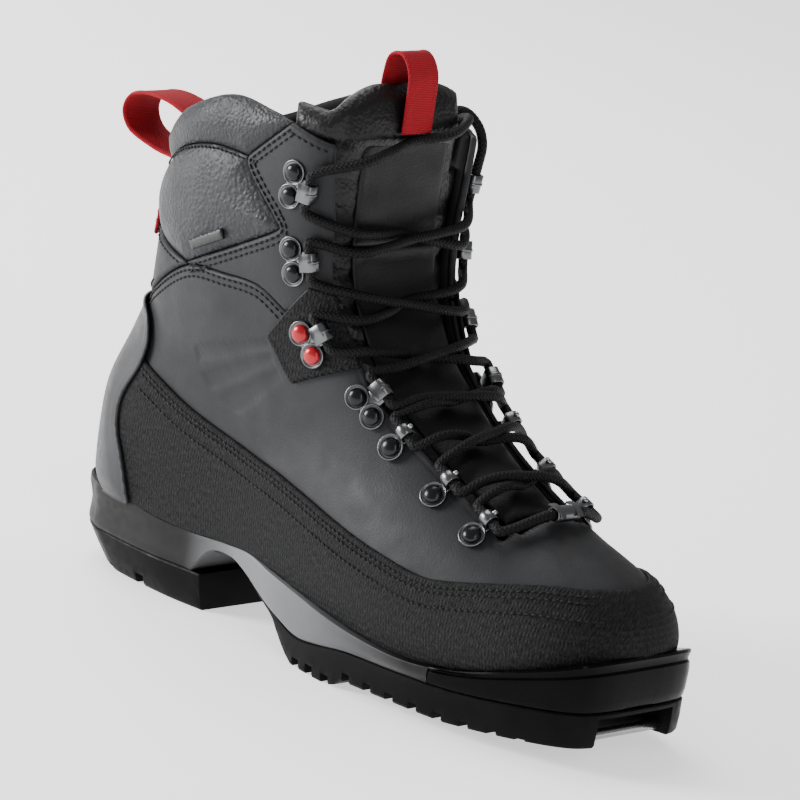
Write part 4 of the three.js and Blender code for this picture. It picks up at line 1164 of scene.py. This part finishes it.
def crossing(index, side, lift):
    """The run from one side's fixing up to the next on the other side, pushed straight out of the foot."""
    shoulder = 4.6 if lift > LOW else 2.6
    a, b = seat_points(index, side)[3], seat_points(index - 1, -side)[0]
    outward = frame_at(FIXINGS[index], side)[1][2] + frame_at(FIXINGS[index - 1], -side)[1][2]
    outward = units(outward * [1, 0, 1])
    run = []
    for t, rise in ((0.16, EDGE), (0.32, shoulder), (0.5, lift), (0.68, shoulder), (0.84, EDGE)):
        p = a * (1 - t) + b * t
        run.append(p + outward * (leaves_last(p, outward, -25.0, 60.0) + rise))
    return run


def tucked_end(*points):
    """Where an end of the lace goes out of sight inside the collar."""
    return [np.array(p, float) for p in points]


def strand(start):
    """One half of the lace, from the lowest fixing on a side up to its tucked end."""
    points, side = [], start
    for index in range(len(FIXINGS) - 1, -1, -1):
        points += seat_points(index, side)
        if index > 0:
            points += crossing(index, side, LOW if (side > 0) == (index % 2 > 0) else HIGH)
        side = -side
    if start > 0:
        return points + tucked_end((119.5, 51.5, 215), (116, 51.5, 222), (111, 46.5, 228), (105, 40.5, 226),
                                   (100.5, 37, 218), (98, 36, 209))
    points += [over_tongue(*p) for p in ((214, -36, 5.8), (218, -18, 3), (221, 0, LOW), (224, 18, 3.4))]
    return points + tucked_end((122, 37, 228), (112, 38, 224), (105.5, 35, 215), (104, 34.5, 209))


clip_place = over_tongue(86.5, 0, 4.8)
low_bar = [clip_place * [1, 0, 1] + [0, y, 0] for y in (-11, -4, 4, 11)]
lace_points = strand(-1)[::-1] + low_bar + strand(1)


def centripetal(points, gap):
    """Evenly spaced places along a centripetal Catmull-Rom curve."""
    p = [2 * points[0] - points[1]] + list(points) + [2 * points[-1] - points[-2]]
    dense = []
    for i in range(1, len(p) - 2):
        p0, p1, p2, p3 = p[i - 1 : i + 3]
        d0, d1, d2 = (max(np.linalg.norm(b - a) ** 0.5, 1e-4) for a, b in ((p0, p1), (p1, p2), (p2, p3)))
        leave = ((p1 - p0) / d0 - (p2 - p0) / (d0 + d1) + (p2 - p1) / d1) * d1
        arrive = ((p2 - p1) / d1 - (p3 - p1) / (d1 + d2) + (p3 - p2) / d2) * d1
        dense += [hermite(t, p1, p2, leave, arrive) for t in np.arange(14) / 14]
    dense = np.array(dense + [p[-2]])
    arc = arc_length(dense)
    s = np.linspace(0, arc[-1], int(arc[-1] / gap) + 1)
    return np.stack([np.interp(s, arc, dense[:, c]) for c in range(3)], 1), s


def tube(path, arc, radius, sides):
    """A round cord along a path, with braid carved in its skin and coordinates in millimetres."""
    ahead = units(np.gradient(path, axis=0))
    side = np.cross(ahead[0], [0.1, 0.2, 1.0])
    verts, uvs = [], []
    for c, a, s in zip(path, ahead, arc):
        side = units(side - a * (side @ a))
        up = np.cross(a, side)
        for q in range(sides + 1):
            f = 2 * math.pi * q / sides
            carve = 1 + 0.05 * math.cos(4 * f + 1.9 * s) * math.cos(4 * f - 1.9 * s)
            verts.append(c + (side * math.cos(f) + up * math.sin(f)) * radius * carve)
            uvs.append((s, 13.2 * q / sides))
    return verts, ring_faces(len(path), sides + 1, closed=False), uvs


verts, faces, uvs = tube(*centripetal(lace_points, 0.85), LACE / 2, 16)
add_piece("lace_braid", verts, faces, "braid", "lace", "lace", uvs=uvs)

# Gaiter clip on the lowest run of the lace: a rolled sleeve with two spread wings.
CLIP_TILT = math.radians(26)
c, s = math.cos(CLIP_TILT), math.sin(CLIP_TILT)
sleeve = strip(arc_points(0, 0, LACE / 2 + 0.95, 0, 2 * math.pi, 25), 14, 0.9)
wing, wing_faces = strip([(-4.5, 1.6), (-3, 2.7), (0, 3.3), (3, 2.7), (4.5, 1.6)], 3.2, 1.0)
wings = [([(x, y + shift, z) for x, y, z in wing], wing_faces) for shift in (-5.2, 5.2)]
verts, faces = merge([sleeve] + wings)
verts = clip_place + np.array(verts) @ np.array([[c, 0, -s], [0, 1, 0], [s, 0, c]])
clip = add_piece("clip_metal", verts, faces, "gunmetal", "gaiter_clip", "gunmetal", "clip")
clip.data.set_sharp_from_angle(angle=math.radians(40))

# ---------- camera, floor and lights ----------
azimuth, elevation, roll = (math.radians(a) for a in (41.83, 13.79, 8.70))
level = Vector((math.sin(azimuth), -math.cos(azimuth), 0))
back = level * math.cos(elevation) + Vector((0, 0, math.sin(elevation)))
right = Vector((math.cos(azimuth), math.sin(azimuth), 0))
up = back.cross(right)
camera_right = right * math.cos(roll) + up * math.sin(roll)
camera_up = -right * math.sin(roll) + up * math.cos(roll)
camera = bpy.data.objects.new("camera", bpy.data.cameras.new("camera"))
bpy.context.collection.objects.link(camera)
camera.data.sensor_width = 36
camera.data.lens = 240.8
CAMERA_AIM, CAMERA_DISTANCE = Vector((141.02 - HEEL_SEAT, -0.01, 111.71)) * MM, 2.2597
place = CAMERA_AIM + back * CAMERA_DISTANCE
turn_camera = Matrix((camera_right, camera_up, back)).transposed().to_4x4()
camera.matrix_world = Matrix.Translation(place) @ turn_camera
bpy.context.scene.camera = camera

world = bpy.data.worlds.new("studio")
bpy.context.scene.world = world
world.use_nodes = True
sky = world.node_tree.nodes["Background"]
sky.inputs["Color"].default_value = (1, 1, 1, 1)
sky.inputs["Strength"].default_value = 0.38


def area_light(name, place, target, size, power):
    data = bpy.data.lights.new(name, "AREA")
    data.shape, data.size, data.size_y, data.energy = "RECTANGLE", size[0], size[1], power
    o = bpy.data.objects.new(name, data)
    o.location = place
    o.rotation_euler = (Vector(target) - Vector(place)).to_track_quat("-Z", "Y").to_euler()
    bpy.context.collection.objects.link(o)


area_light("key", (-1.7, -1.55, 0.85), (0.05, 0, 0.12), (1.0, 0.9), 108)
area_light("top", (-0.7, 0.3, 1.7), (0.05, 0, 0.1), (1.2, 1.2), 26)
area_light("strip", (1.5, -0.9, 0.75), (0.2, 0, 0.1), (0.25, 1.3), 7)
area_light("rim", (-1.8, 0.9, 0.8), (0.0, 0, 0.15), (0.9, 0.7), 10)

t, s = nodes_of("floor")
surface(t, s, (0.95, 0.95, 0.952, 1), 0.75, 0.2)
s.inputs["Emission Color"].default_value = (1, 1, 1, 1)
s.inputs["Emission Strength"].default_value = 0.9
FLOOR = 30
floor_mesh = bpy.data.meshes.new("floor")
corners = [(-FLOOR, -FLOOR, 0), (FLOOR, -FLOOR, 0), (FLOOR, FLOOR, 0), (-FLOOR, FLOOR, 0)]
floor_mesh.from_pydata(corners, [], [[0, 1, 2, 3]])
floor_mesh.materials.append(materials["floor"])
floor = bpy.data.objects.new("floor", floor_mesh)
bpy.context.collection.objects.link(floor)
